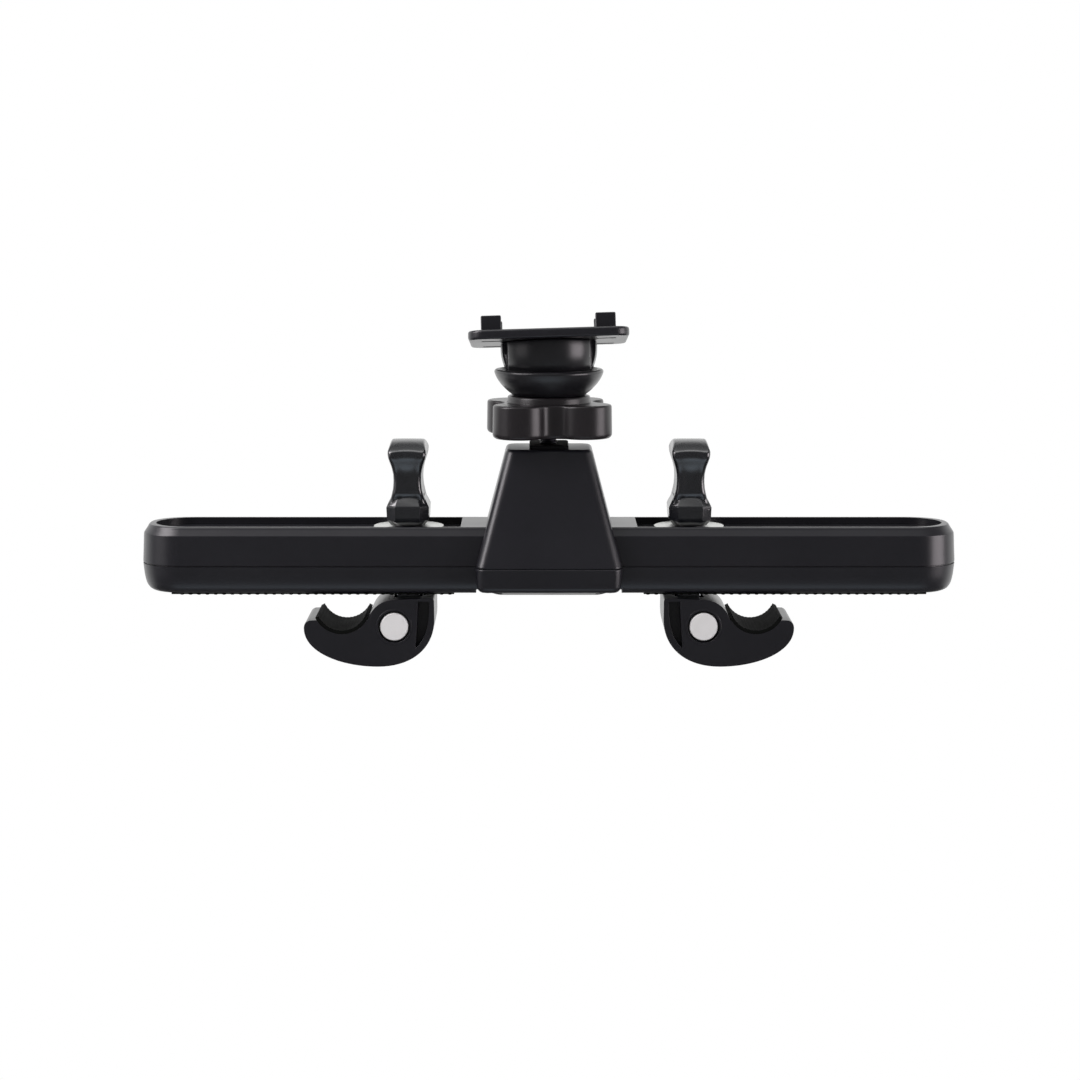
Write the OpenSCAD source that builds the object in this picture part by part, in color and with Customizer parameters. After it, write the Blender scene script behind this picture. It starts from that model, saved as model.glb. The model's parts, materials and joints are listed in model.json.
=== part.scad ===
// Headrest tablet mount: a rail with two sliding hook clamps, a riser and a ball joint with a tab plate.
// X runs along the rail, Y runs away from the front face, Z points up. Z = 0 is the rail's underside.

/* [Rail] */
// Length of the rail
rail_l = 220; // [200:1:260]
// Depth of the rail from front to back
rail_w = 25.6; // [25:0.1:28]
// Height of the rail
rail_h = 18; // [17:0.1:20]
// Height of the parting line between the two shells
parting_z = 7.7; // [7.2:0.1:8.5]
// Radius of the rail's corners in plan
rail_r = 11.5; // [9:0.1:12]
// Wall of the shells
wall = 2; // [1.8:0.1:2.4]
// Bevel height along the top edge
bevel_h = 2.2; // [1.5:0.1:3]
// Bevel width along the top edge
bevel_w = 1.2; // [0.6:0.1:2]
// Depth of the two channels in the top
channel_d = 2; // [1.8:0.1:2.4]
// Width of the channels
channel_w = 20.2; // [20:0.1:21]
// Distance from the centre to a channel's inner end
channel_in = 24.5; // [23:0.5:26]
// Distance from a channel's outer end to the rail's end
channel_end = 3.5; // [3:0.1:5]
// Width of the rod slot in the channel floor
rod_slot_w = 6; // [5.6:0.1:7]
// Width of the slot in the rail's underside
block_slot_w = 11; // [10.8:0.1:12]

/* [Grip pads] */
// Width of one grip strip
pad_w = 3; // [2:0.1:3.2]
// Depth of the groove that holds a strip
pad_sink = 0.5; // [0.3:0.1:0.8]
// Height of the ribs below the rail
rib_h = 0.4; // [0.3:0.05:0.7]
// Distance between ribs
rib_pitch = 2.25; // [1.5:0.05:3]

/* [Riser] */
// Width of the riser at the parting line
riser_base_w = 39; // [36:0.5:41]
// Depth of the riser at the parting line
riser_base_d = 38.4; // [36:0.2:42]
// Width of the riser at its top
riser_top_w = 23.2; // [20:0.2:28]
// Depth of the riser at its top
riser_top_d = 19.4; // [18:0.2:26]
// Height of the riser's top above the rail's underside
riser_h = 38.6; // [36:0.2:46]
// Radius of the riser's upright edges
riser_r = 2.2; // [1.5:0.1:3]
// Bottom of the base collar above the rail's underside
collar_z = 1.2; // [0.8:0.1:2]
// Thickness of the base collar's bridge under the rail
bridge_t = 1.2; // [1:0.1:1.3]
// Size of the stem collar on top of the riser: width
stem_collar_w = 10.5; // [9:0.1:12]
// Size of the stem collar on top of the riser: depth
stem_collar_d = 16; // [12:0.2:17]
// Height of the stem collar
stem_collar_h = 1; // [0.6:0.1:1.6]

/* [Head] */
// Thread diameter of the ball stud
stud_d = 4.8; // [4:0.1:5]
// Gap between the riser and the clamp nut
nut_gap = 3.1; // [2.4:0.1:4]
// Height of the clamp nut's lobes
nut_h = 9; // [7:0.1:11]
// Number of lobes
lobes = 4; // [3:1:6]
// Radius of one lobe
lobe_r = 7.3; // [6.5:0.1:7.6]
// Distance from the nut's centre to a lobe's centre
lobe_at = 12.3; // [12:0.1:13]
// Radius of the nut's body between the lobes
nut_r = 14.4; // [13:0.1:15]
// Radius of the round collar on the nut
nut_collar_r = 11.1; // [10.6:0.1:12]
// Height of the round collar on the nut
nut_collar_h = 1.8; // [1:0.1:2.4]
// Radius of the ball
ball_r = 13; // [12.6:0.1:13.2]
// Height of the ball's centre above the socket cup's foot
ball_up = 12.5; // [12.4:0.1:13]
// Radius of the socket cup's rim
cup_rim_r = 14.7; // [14.6:0.1:15.4]
// Radius of the socket cup's foot
cup_foot_r = 10.15; // [9.9:0.05:11]
// Height of the socket cup
cup_h = 7.1; // [6.6:0.1:7.4]
// Lean of the plate away from level
plate_tilt = 7.7; // [0:0.1:12]
// Direction of the axis that the plate leans about
tilt_azimuth = 12.8; // [0:0.1:30]

/* [Plate] */
// Width of the tab plate
plate_w = 42.6; // [40:0.2:48]
// Depth of the tab plate
plate_d = 36; // [34:0.5:40]
// Thickness of the tab plate
plate_t = 2.5; // [2.4:0.1:3]
// Corner radius of the tab plate
plate_r = 4.5; // [3:0.1:6]
// Distance between tabs, side to side
tab_dx = 30.4; // [29:0.1:32]
// Distance between tabs, front to back
tab_dy = 21; // [19:0.5:22]
// Width of a tab
tab_w = 5.4; // [4:0.1:6]
// Height of a tab above the plate
tab_h = 4.2; // [3.6:0.1:5]
// Height of a tab's lip
lip_h = 1.5; // [1.2:0.1:2]

/* [Clamps] */
// Distance from the centre to a clamp's rod at rest
clamp_x = 38; // [37.5:0.1:38.5]
// Thread diameter of the clamp rod
rod_d = 5; // [4.6:0.1:5]
// Diameter of the washer disc
disc_d = 19.2; // [18:0.1:19.4]
// Thickness of the washer disc
disc_t = 1.2; // [1:0.1:1.4]
// Depth of the hook from front to back
hook_w = 22; // [21:0.2:23]
// Radius of the hook's cradle
notch_r = 7.9; // [7.5:0.1:8.1]
// Thickness of the rubber cradle pad
cradle_t = 1; // [0.8:0.1:1.4]
// Distance from the rod to the post's axis
post_u = 17.7; // [17.5:0.1:18]
// Diameter of the hook pins
pin_d = 7.5; // [6.5:0.1:7.6]
// Distance from the rod to the pins
pin_u = 3.6; // [3.4:0.1:3.8]
// Depth of the pins below the rail's underside
pin_z = 9; // [8.8:0.1:9.2]
// Height of a wing knob
knob_h = 22.2; // [20:0.2:24]
// Width of a wing knob's hub
hub_w = 11.4; // [11:0.1:12]
// Depth of a wing knob's hub
hub_d = 17; // [15:0.2:18]
// Height of a wing knob's hub
hub_h = 4.4; // [4:0.1:5]
// Turn of a wing knob away from square
knob_turn = 0; // [0:1:15]

/* [Fits] */
// Radial clearance of turning and sliding fits
fit = 0.06; // [0.03:0.01:0.09]
// Gap between pieces that move past each other
gap = 0.3; // [0.3:0.05:0.4]

/* [Hidden] */
$fn = 64;
half_l = rail_l / 2;
channel_out = half_l - channel_end;
inner_top = rail_h - channel_d - wall;
slot_in = channel_in + 6;
slot_out = channel_out - 8;
block_slot_out = channel_out - 5.5;
shell_screw_in = riser_base_w / 2 + 3.1;
shell_screw_out = channel_out - 2;
screw_r = 1.4;
riser_wall = (riser_base_d - rail_w) / 2;
riser_screw_r = 0.1875 * riser_wall;
riser_screw_y = rail_w / 2 + 0.39 * riser_wall;
riser_head_r = 0.32 * riser_wall;
riser_hollow_w = 0.59 * riser_base_w;
riser_hollow_d = 0.45 * riser_base_d;
riser_screw_top = parting_z + 3.4;
turn_gap = 0.05;
seat_gap = 0.02;
cap_sink = 1.2;
pad_y = rail_w / 2 - 5.1;
nut_z = riser_h + nut_gap;
cup_z = nut_z + nut_h + nut_collar_h + 0.1;
ball_z = cup_z + ball_up;
liner_t = 0.7;
liner_r = ball_r + gap;
seat_r = liner_r + liner_t + gap;
ball_wall = 2.5;
ball_cut = 8.4;
ball_top = 1.7;
washer_r = ball_r - ball_wall - gap;
washer_top = 4.8;
stud_r = stud_d / 2;
stud_head_r = 4.5;
stud_head_h = 2.8;
spigot_r = 4;
disc_z = rail_h - channel_d;
hub_z = disc_z + disc_t + 0.6;
rod_r = rod_d / 2;
hook_k = post_u / 17.7;
rod_end_z = -13.5 * hook_k;
neck = 6.4;
neck_top = 10.5;
block_top = 6.5;
post_z = notch_r - 11 * hook_k;
cheek_y = 0.282 * hook_w;
carrier_y = cheek_y - gap;
head_r = 4.4;
waist_x = 0.33 * hub_w;
waist_y = 0.46 * hub_d;
waist_z = 0.56 * knob_h;
brow_x = 0.465 * hub_w;
wing_y = 0.6 * hub_d;
boss_t = 1.3;
tiny = 0.01;

// Points on a cubic curve from a to d, without the last one
function curve(a, b, c, d, steps) = [
    for (i = [0 : steps - 1])
        let (t = i / steps, s = 1 - t)
            s * s * s * a + 3 * s * s * t * b + 3 * s * t * t * c + t * t * t * d
];

// Points on an arc round a centre
function arc(centre, r, from, to, steps) = [
    for (i = [0 : steps])
        let (angle = from + (to - from) * i / steps)
            centre + r * [cos(angle), sin(angle)]
];

// Rectangle with round corners, centred
module rounded(l, w, r) {
    square([l - 2 * r, w], center = true);
    square([l, w - 2 * r], center = true);
    for (x = [-1, 1], y = [-1, 1])
        translate([x * (l / 2 - r), y * (w / 2 - r)])
            circle(r);
}

// One thin layer of a drafted, round-cornered block
module layer(l, w, r, inset, z) {
    for (x = [-1, 1], y = [-1, 1])
        translate([x * (l / 2 - r), y * (w / 2 - r), z])
            cylinder(r = r - inset, h = tiny, $fn = 48);
}

module on_both_sides() {
    children();
    mirror([1, 0, 0])
        children();
}

// A prism whose outline lies in X and Z, centred on Y
module across(depth) {
    translate([0, depth / 2, 0])
        rotate([90, 0, 0])
            linear_extrude(depth)
                children();
}

// Rail

module upper_block() {
    hull() {
        layer(rail_l, rail_w, rail_r, 0, parting_z);
        layer(rail_l, rail_w, rail_r, 0.4, rail_h - bevel_h);
        layer(rail_l, rail_w, rail_r, bevel_w, rail_h - tiny);
    }
}

module lower_block() {
    hull() {
        layer(rail_l, rail_w, rail_r, 0, parting_z - tiny);
        layer(rail_l, rail_w, rail_r, 0.4, 4.4);
        layer(rail_l, rail_w, rail_r, 1.3, 1.7);
        layer(rail_l, rail_w, rail_r, 2.3, 0.5);
        layer(rail_l, rail_w, rail_r, 3.3, 0);
    }
}

// Channel: round at its outer end, square at its inner end
module channel(z, h) {
    r = channel_w / 2;
    translate([channel_in, -r, z])
        cube([channel_out - r - channel_in, channel_w, h]);
    translate([channel_out - r, 0, z])
        cylinder(r = r, h = h);
}

// Slot with round ends
module slot(from, to, w, z, h) {
    translate([from + w / 2, -w / 2, z])
        cube([to - from - w, w, h]);
    for (x = [from + w / 2, to - w / 2])
        translate([x, 0, z])
            cylinder(r = w / 2, h = h);
}

module shell_screw_spots() {
    for (x = [shell_screw_in, shell_screw_out])
        translate([x, 0, 0])
            children();
}

module upper_shell() {
    color([0.10, 0.10, 0.11])
        difference() {
            union() {
                difference() {
                    upper_block();
                    translate([0, 0, parting_z - 1])
                        linear_extrude(inner_top - parting_z + 1)
                            rounded(rail_l - 2 * wall - 1, rail_w - 2 * wall - 1, rail_r - wall);
                }
                on_both_sides()
                    shell_screw_spots()
                        translate([0, 0, parting_z])
                            cylinder(r = screw_r + 1.4, h = inner_top - parting_z + 0.2);
            }
            on_both_sides() {
                channel(rail_h - channel_d, channel_d + 1);
                slot(slot_in, slot_out, rod_slot_w, inner_top - 1, wall + 2);
                shell_screw_spots()
                    translate([0, 0, parting_z - 1])
                        cylinder(r = screw_r, h = inner_top - parting_z);
            }
        }
}

module lower_shell() {
    color([0.09, 0.09, 0.10])
        difference() {
            union() {
                difference() {
                    lower_block();
                    translate([0, 0, wall + 0.4])
                        linear_extrude(parting_z)
                            rounded(rail_l - 2 * wall - 2, rail_w - 2 * wall - 2, rail_r - wall - 1);
                }
                on_both_sides()
                    shell_screw_spots()
                        translate([0, 0, wall])
                            cylinder(r = screw_r + 1.4, h = parting_z - wall - tiny);
            }
            on_both_sides() {
                translate([slot_in - 4, -block_slot_w / 2, -1])
                    cube([block_slot_out - slot_in + 4, block_slot_w, wall + 3]);
                shell_screw_spots() {
                    translate([0, 0, -1])
                        cylinder(r = screw_r, h = parting_z + 2);
                    translate([0, 0, -1])
                        cylinder(r = screw_r + 1.2, h = 2.6);
                }
                pad_grooves();
            }
            // Recess for the base collar's bridge under the rail
            translate([-riser_base_w / 2 - fit, -rail_w, -1])
                cube([riser_base_w + 2 * fit, 2 * rail_w, bridge_t + 1 + fit]);
        }
}

module pad_grooves() {
    for (y = [-1, 1])
        translate([slot_in - 5, y * pad_y - pad_w / 2, -1])
            cube([slot_out - slot_in + 8, pad_w, pad_sink + 1]);
}

// One strip of ribbed rubber, seated in its groove
module grip_strip(y) {
    from = slot_in - 5;
    len = slot_out - slot_in + 8;
    ribs = floor(len / rib_pitch);
    saw = [for (i = [0 : ribs - 1]) each [
        [from + i * rib_pitch, 0],
        [from + (i + 0.35) * rib_pitch, -rib_h],
        [from + (i + 0.65) * rib_pitch, -rib_h]
    ]];
    translate([0, y, 0])
        across(pad_w)
            polygon(concat([[from + len, pad_sink], [from, pad_sink]], saw, [[from + len, 0]]));
}

module right_grip_pad() {
    color([0.07, 0.07, 0.07])
        for (y = [-pad_y, pad_y])
            grip_strip(y);
}

module left_grip_pad() {
    mirror([1, 0, 0])
        right_grip_pad();
}

module shell_screws() {
    color([0.55, 0.56, 0.58])
        on_both_sides()
            shell_screw_spots() {
                translate([0, 0, 0.4])
                    cylinder(r = screw_r + 1.1, h = 1.2);
                translate([0, 0, 0.4])
                    cylinder(r = screw_r, h = inner_top - 3);
            }
}

// Riser

module riser_outer() {
    hull() {
        layer(riser_base_w, riser_base_d, riser_r, 0, parting_z);
        layer(riser_top_w, riser_top_d, riser_r, 0, riser_h - 0.5);
        layer(riser_top_w - 0.8, riser_top_d - 0.8, riser_r, 0, riser_h - tiny);
    }
}

// Room for the rail through the riser
module rail_room() {
    hull() {
        layer(rail_l, rail_w + 0.1, rail_r, 0, -1);
        layer(rail_l, rail_w + 0.1, rail_r, 0, parting_z);
        layer(rail_l, rail_w + 0.1, rail_r, 0.4, rail_h - bevel_h);
        layer(rail_l, rail_w + 0.1, rail_r, bevel_w, rail_h);
    }
}

module riser_screw_spots() {
    for (x = [-1, 1], y = [-1, 1])
        translate([x * (riser_base_w / 2 - 5), y * riser_screw_y, 0])
            children();
}

module riser_tower() {
    color([0.11, 0.11, 0.12])
        difference() {
            riser_outer();
            rail_room();
            // Hollow above the rail, under a thick top wall
            hull() {
                translate([-riser_hollow_w / 2, -riser_hollow_d / 2, rail_h - 1])
                    cube([riser_hollow_w, riser_hollow_d, 1]);
                translate([-riser_top_w / 3, -riser_top_d / 3, riser_h - 5.6])
                    cube([riser_top_w / 1.5, riser_top_d / 1.5, 1]);
            }
            translate([0, 0, riser_h - 6])
                cylinder(r = stud_r + seat_gap, h = 10);
            riser_screw_spots()
                translate([0, 0, parting_z - 1])
                    cylinder(r = riser_screw_r, h = riser_screw_top - parting_z + 1.3);
        }
}

module riser_base() {
    color([0.10, 0.10, 0.11])
        difference() {
            hull() {
                layer(riser_base_w, riser_base_d, riser_r, 0, parting_z - 2 * tiny);
                layer(riser_base_w - 1, riser_base_d - 1, riser_r, 0, collar_z + 1);
                layer(riser_base_w - 3, riser_base_d - 3, riser_r, 0, collar_z);
                layer(riser_base_w - 12, riser_base_d - 12, riser_r, 0, 0);
            }
            lower_room();
            riser_screw_spots() {
                translate([0, 0, -1])
                    cylinder(r = riser_screw_r, h = parting_z + 2);
                translate([0, 0, -1])
                    cylinder(r = riser_head_r + 0.1, h = collar_z + 2.6);
            }
        }
}

// Room for the lower shell through the base collar
module lower_room() {
    hull() {
        layer(rail_l, rail_w + 0.1, rail_r, 0, parting_z + 1);
        layer(rail_l, rail_w + 0.1, rail_r, 0, parting_z - tiny);
        layer(rail_l, rail_w + 0.1, rail_r, 0.4, 4.4);
        layer(rail_l, rail_w + 0.1, rail_r, 1.3, 1.7);
        layer(rail_l, rail_w + 0.1, rail_r, 1.6, bridge_t);
    }
}

module riser_screws() {
    color([0.55, 0.56, 0.58])
        riser_screw_spots() {
            translate([0, 0, collar_z + 0.4])
                cylinder(r = riser_head_r, h = 1.2);
            translate([0, 0, collar_z + 0.4])
                cylinder(r = riser_screw_r, h = riser_screw_top - collar_z - 0.4);
        }
}

module stem_collar() {
    color([0.05, 0.05, 0.06])
        translate([0, 0, riser_h])
            difference() {
                linear_extrude(stem_collar_h)
                    rounded(stem_collar_w, stem_collar_d, 1.2);
                translate([0, 0, -1])
                    cylinder(r = stud_r, h = stem_collar_h + 2);
            }
}

// Steel stud: from the nut inside the riser up to its head inside the ball
module ball_stud() {
    head_z = ball_z - washer_top;
    color([0.25, 0.25, 0.27])
        union() {
            translate([0, 0, riser_h - 10])
                cylinder(r = stud_r, h = head_z - riser_h + 10 + tiny);
            translate([0, 0, head_z])
                cylinder(r = stud_head_r, h = stud_head_h, $fn = 6);
        }
}

module stud_nut() {
    color([0.6, 0.6, 0.62])
        translate([0, 0, riser_h - 4.6 - 4])
            difference() {
                cylinder(r = 4.6, h = 4, $fn = 6);
                translate([0, 0, -1])
                    cylinder(r = stud_r, h = 6);
            }
}

// Head

module socket_cup() {
    seat_low = 1.5;
    rim_r = 0.75;
    rim = [cup_rim_r - rim_r, cup_h - rim_r - 0.05];
    low_angle = -acos((ball_up - seat_low) / seat_r) - 90;
    top_angle = -acos((ball_up - cup_h) / seat_r) - 90;
    seat = [for (p = arc([0, ball_up], seat_r, low_angle, top_angle, 12)) [-p[0], p[1]]];
    flare = curve([cup_foot_r, 0], [cup_foot_r + 0.2, 1.6], [cup_rim_r - 0.9, cup_h - 3], rim + [rim_r, -0.1], 8);
    color([0.09, 0.09, 0.10])
        translate([0, 0, cup_z])
            rotate_extrude()
                polygon(concat(
                    [[stud_r, seat_low], [stud_r, 0]],
                    flare,
                    arc(rim, rim_r, 0, 80, 4),
                    [for (i = [len(seat) - 1 : -1 : 0]) seat[i]]
                ));
}

module clamp_nut() {
    color([0.13, 0.12, 0.13])
        translate([0, 0, nut_z])
            rotate([0, 0, -39])
                difference() {
                    union() {
                        cylinder(r = nut_r, h = nut_h);
                        for (i = [0 : lobes - 1])
                            rotate([0, 0, i * 360 / lobes])
                                translate([lobe_at, 0, 0])
                                    lobe();
                        translate([0, 0, nut_h])
                            cylinder(r1 = nut_collar_r + 0.2, r2 = nut_collar_r, h = nut_collar_h);
                    }
                    translate([0, 0, -1])
                        cylinder(r = stud_r + 2 + seat_gap, h = nut_h + nut_collar_h + 2);
                }
}

// One lobe with a soft edge at its foot and a small bevel at its top
module lobe() {
    edge = 0.5;
    rotate_extrude()
        polygon(concat(
            [[0, 0]],
            arc([lobe_r - 1.2, 1.2], 1.2, -90, 0, 6),
            [[lobe_r - 0.15, nut_h - edge], [lobe_r - edge, nut_h], [0, nut_h]]
        ));
}

module nut_insert() {
    color([0.72, 0.58, 0.25])
        translate([0, 0, nut_z])
            difference() {
                cylinder(r = stud_r + 2, h = nut_h + nut_collar_h);
                translate([0, 0, -1])
                    cylinder(r = stud_r + fit, h = nut_h + nut_collar_h + 2);
            }
}

// Moves its children into the ball's frame, as it leans at rest
module leaning() {
    translate([0, 0, ball_z])
        rotate(a = -plate_tilt, v = [cos(tilt_azimuth), sin(tilt_azimuth), 0])
            children();
}

// Thin nylon ring between cup and ball
module socket_liner() {
    color([0.16, 0.16, 0.17])
        translate([0, 0, ball_z])
            intersection() {
                difference() {
                    sphere(r = liner_r + liner_t);
                    sphere(r = liner_r);
                }
                translate([0, 0, -ball_up + 2.6])
                    cylinder(r = ball_r + 3, h = cup_h - 3);
            }
}

// Friction washer inside the ball, held by the stud's head
module friction_washer() {
    color([0.5, 0.5, 0.52])
        translate([0, 0, ball_z])
            difference() {
                intersection() {
                    sphere(r = washer_r);
                    translate([0, 0, -washer_top - 3])
                        cylinder(r = washer_r, h = 3);
                }
                translate([0, 0, -ball_r])
                    cylinder(r = stud_r, h = 2 * ball_r);
            }
}

module ball() {
    band_w = 22;
    cheek_back = 3.5;
    color([0.08, 0.08, 0.09])
        leaning()
            difference() {
                union() {
                    intersection() {
                        difference() {
                            sphere(r = ball_r);
                            difference() {
                                sphere(r = ball_r - ball_wall);
                                translate([0, 0, -0.3])
                                    cylinder(r = ball_r, h = ball_r);
                            }
                        }
                        translate([0, 0, -ball_cut])
                            cylinder(r = ball_r + 1, h = ball_cut + ball_top);
                    }
                    translate([0, 0, ball_top - 1])
                        cylinder(r = spigot_r, h = 1 + plate_t - cap_sink + 2 * turn_gap);
                }
                // Cheeks set back behind the front and rear bands
                for (x = [-1, 1], y = [-1, 1])
                    translate([x * (band_w / 2 + 2.5), y * (cheek_back + 5), 0])
                        cube([5, 10, 40], center = true);
                translate([0, 0, -0.4])
                    cylinder(r = screw_r, h = 10);
            }
}

module tab_plate() {
    color([0.10, 0.10, 0.11])
        leaning()
            translate([0, 0, ball_top + turn_gap])
                union() {
                    difference() {
                        linear_extrude(plate_t)
                            rounded(plate_w, plate_d, plate_r);
                        translate([0, 0, -1])
                            cylinder(r = spigot_r + fit, h = plate_t + 2);
                        translate([0, 0, plate_t - cap_sink])
                            cylinder(r = 7, h = 2);
                        for (x = [-1, 1], y = [-1, 1])
                            translate([x * tab_dx / 2, y * tab_dy / 2 + 2.2, plate_t / 2])
                                cube([tab_w, 2.6, plate_t + 2], center = true);
                    }
                    for (x = [-1, 1], y = [-1, 1])
                        translate([x * tab_dx / 2, y * tab_dy / 2, plate_t])
                            tab();
                }
}

// A tab: an upright with a lip that points to the back
module tab() {
    upright = 1.8;
    reach = 3.4;
    translate([-tab_w / 2, -upright / 2, -0.2])
        cube([tab_w, upright, tab_h + 0.2]);
    translate([-tab_w / 2, -upright / 2, tab_h - lip_h])
        cube([tab_w, reach, lip_h]);
}

module plate_screw() {
    color([0.45, 0.46, 0.48])
        leaning()
            union() {
                translate([0, 0, ball_top + plate_t - cap_sink + 2 * turn_gap])
                    cylinder(r = 6.6, h = 1);
                translate([0, 0, -0.3])
                    cylinder(r = screw_r, h = ball_top + plate_t - cap_sink + 0.6);
            }
}

// Clamps: each piece is drawn for the right clamp, with its rod at X = 0 and outwards along X

module at_right() {
    translate([clamp_x, 0, 0])
        children();
}

module at_left() {
    mirror([1, 0, 0])
        at_right()
            children();
}

module disc() {
    color([0.85, 0.86, 0.87])
        translate([0, 0, disc_z + 0.05])
            difference() {
                cylinder(r = disc_d / 2, h = disc_t - 0.05);
                translate([0, 0, -1])
                    cylinder(r = rod_r + fit, h = disc_t + 2);
            }
}

// Block that runs in the rail's lower slot and guides the carrier's square neck
module slide_block() {
    flange_z = wall + 0.4 + 0.1;
    block_l = 2.19 * neck;
    block_w = rail_w - 2 * wall - 2 * rail_r * 0.243;
    color([0.2, 0.2, 0.21])
        difference() {
            union() {
                translate([-block_l / 2, -block_w / 2, flange_z])
                    cube([block_l, block_w, block_top - flange_z]);
                translate([-block_l / 2, -block_slot_w / 2 + gap, 0.4])
                    cube([block_l, block_slot_w - 2 * gap, block_top - 0.4]);
            }
            translate([-neck / 2 - fit, -neck / 2 - fit, -1])
                cube([neck + 2 * fit, neck + 2 * fit, block_top + 2]);
        }
}

// Front outline of a wing knob, right half, from the hub up
function knob_side() = concat(
    [[hub_w / 2 - 0.6, 0], [hub_w / 2, 0.6], [hub_w / 2, hub_h]],
    curve([0.93 * hub_w / 2, hub_h + 0.5], [0.37 * hub_w, 0.34 * knob_h], [waist_x, 0.39 * knob_h], [waist_x, waist_z], 6),
    curve([waist_x, waist_z], [waist_x, 0.72 * knob_h], [brow_x, 0.82 * knob_h], [brow_x, knob_h - 1.4], 6),
    curve([brow_x, knob_h - 1.4], [brow_x, knob_h - 0.4], [0.87 * brow_x, knob_h], [0.64 * brow_x, knob_h], 4),
    [[0.6 * brow_x, knob_h]]
);

// Side outline of a wing knob, half, from the hub up
function knob_wing() = concat(
    [[hub_d / 2 - 0.6, 0], [hub_d / 2, 0.6], [hub_d / 2, hub_h]],
    curve([0.95 * hub_d / 2, hub_h + 0.4], [0.435 * hub_d, 0.3 * knob_h], [0.424 * hub_d, 0.43 * knob_h],
          [waist_y, waist_z], 6),
    curve([waist_y, waist_z], [1.08 * waist_y, 0.69 * knob_h], [wing_y, 0.775 * knob_h], [wing_y, knob_h - 2], 6),
    curve([wing_y, knob_h - 2], [wing_y, knob_h - 0.6], [0.9 * wing_y, knob_h], [0.75 * wing_y, knob_h], 4),
    [[0.72 * wing_y, knob_h]]
);

function mirrored(points) = concat(points, [for (i = [len(points) - 1 : -1 : 0]) [-points[i][0], points[i][1]]]);

module wing_knob() {
    color([0.14, 0.15, 0.17])
        translate([0, 0, hub_z])
            rotate([0, 0, -knob_turn])
                difference() {
                    union() {
                        intersection() {
                            across(30)
                                polygon(mirrored(knob_side()));
                            rotate([0, 0, 90])
                                across(30)
                                    polygon(mirrored(knob_wing()));
                            linear_extrude(knob_h)
                                knob_plan();
                        }
                        translate([0, 0, -0.55])
                            cylinder(r = 4.2, h = 1);
                    }
                    translate([0, 0, -1])
                        cylinder(r = rod_r, h = 3);
                    translate([0, 0, 1])
                        cylinder(r = head_r, h = 3.2, $fn = 6);
                }
}

// Plan of a wing knob: a long octagon over the hub that stays clear of the wings
module knob_plan() {
    corner = 0.21 * hub_w;
    far = wing_y + 0.8;
    polygon([
        [-hub_w / 2, -hub_d / 2 + corner], [-hub_w / 2 + corner, -far], [hub_w / 2 - corner, -far],
        [hub_w / 2, -hub_d / 2 + corner], [hub_w / 2, hub_d / 2 - corner], [hub_w / 2 - corner, far],
        [-hub_w / 2 + corner, far], [-hub_w / 2, hub_d / 2 - corner]
    ]);
}

// Threaded rod with a hexagon head held in the knob
module rod() {
    color([0.62, 0.63, 0.65])
        rotate([0, 0, -knob_turn])
            union() {
                translate([0, 0, rod_end_z])
                    cylinder(r = rod_r, h = hub_z + 1.5 - rod_end_z);
                translate([0, 0, hub_z + 1])
                    cylinder(r = head_r, h = 3.2, $fn = 6);
            }
}

// Nut block on the rod: a square neck that runs in the slide block and a wide body inside the hook
module carrier() {
    color([0.55, 0.56, 0.58])
        difference() {
            union() {
                translate([-neck / 2, -neck / 2, -pin_z])
                    cube([neck, neck, neck_top + pin_z]);
                translate([pin_u, 0, -pin_z])
                    rotate([90, 0, 0])
                        cylinder(r = pin_d / 2 + boss_t, h = 2 * carrier_y, center = true);
                translate([-neck / 2, -carrier_y, -pin_z - 3.6])
                    cube([neck, 2 * carrier_y, 6.6]);
            }
            translate([0, 0, -pin_z - 10])
                cylinder(r = rod_r + fit, h = 40);
            for (y = [-1, 1])
                translate([pin_u, y * carrier_y, -pin_z])
                    rotate([90, 0, 0])
                        cylinder(r = pin_d / 2, h = 4, center = true);
        }
}

module hook_pins() {
    depth = hook_w / 2 - carrier_y + 2;
    color([0.8, 0.81, 0.82])
        for (y = [-1, 1])
            translate([pin_u, y * (hook_w / 2 - depth / 2), -pin_z])
                rotate([90, 0, 0])
                    cylinder(r = pin_d / 2, h = depth, center = true);
}

// Outline of the hook in X and Z: belly, tip, cradle, hub and back
module hook_outline() {
    hub_at = [pin_u, -pin_z];
    post_at = [post_u, post_z];
    k = hook_k;
    belly = 19.9 * k;
    tip = post_u + 10.2 * k;
    back = -7.2 * k;
    polygon(concat(
        curve([back, -7 * k], [back, -14.5 * k], [-1.5 * k, -belly], [8 * k, -belly], 10),
        curve([8 * k, -belly], [18 * k, -belly], [tip, -16 * k], [tip, -9.4 * k], 12),
        curve([tip, -9.4 * k], [tip, -8 * k], [tip - 0.8 * k, -7.3 * k], [tip - 2 * k, -7.2 * k], 4),
        arc(post_at, notch_r, -31.3, -147, 20),
        arc(hub_at, pin_d / 2 + 3.55 * k, 16, 90, 8),
        [[-5.2 * k, -1.7 * k]],
        arc([back + 1.9 * k, -3.7 * k], 1.8 * k, 90, 170, 5)
    ));
}

// Moulded recess beside the hub, seen from the front
module hook_recess() {
    scale(hook_k)
        polygon(concat(
            [[-3.2, -3.2]],
            curve([-5.7, -3.4], [-5.7, -8.6], [-5.2, -11.8], [-2.4, -14.6], 6),
            [[-2.4, -14.6]]
        ));
}

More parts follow.
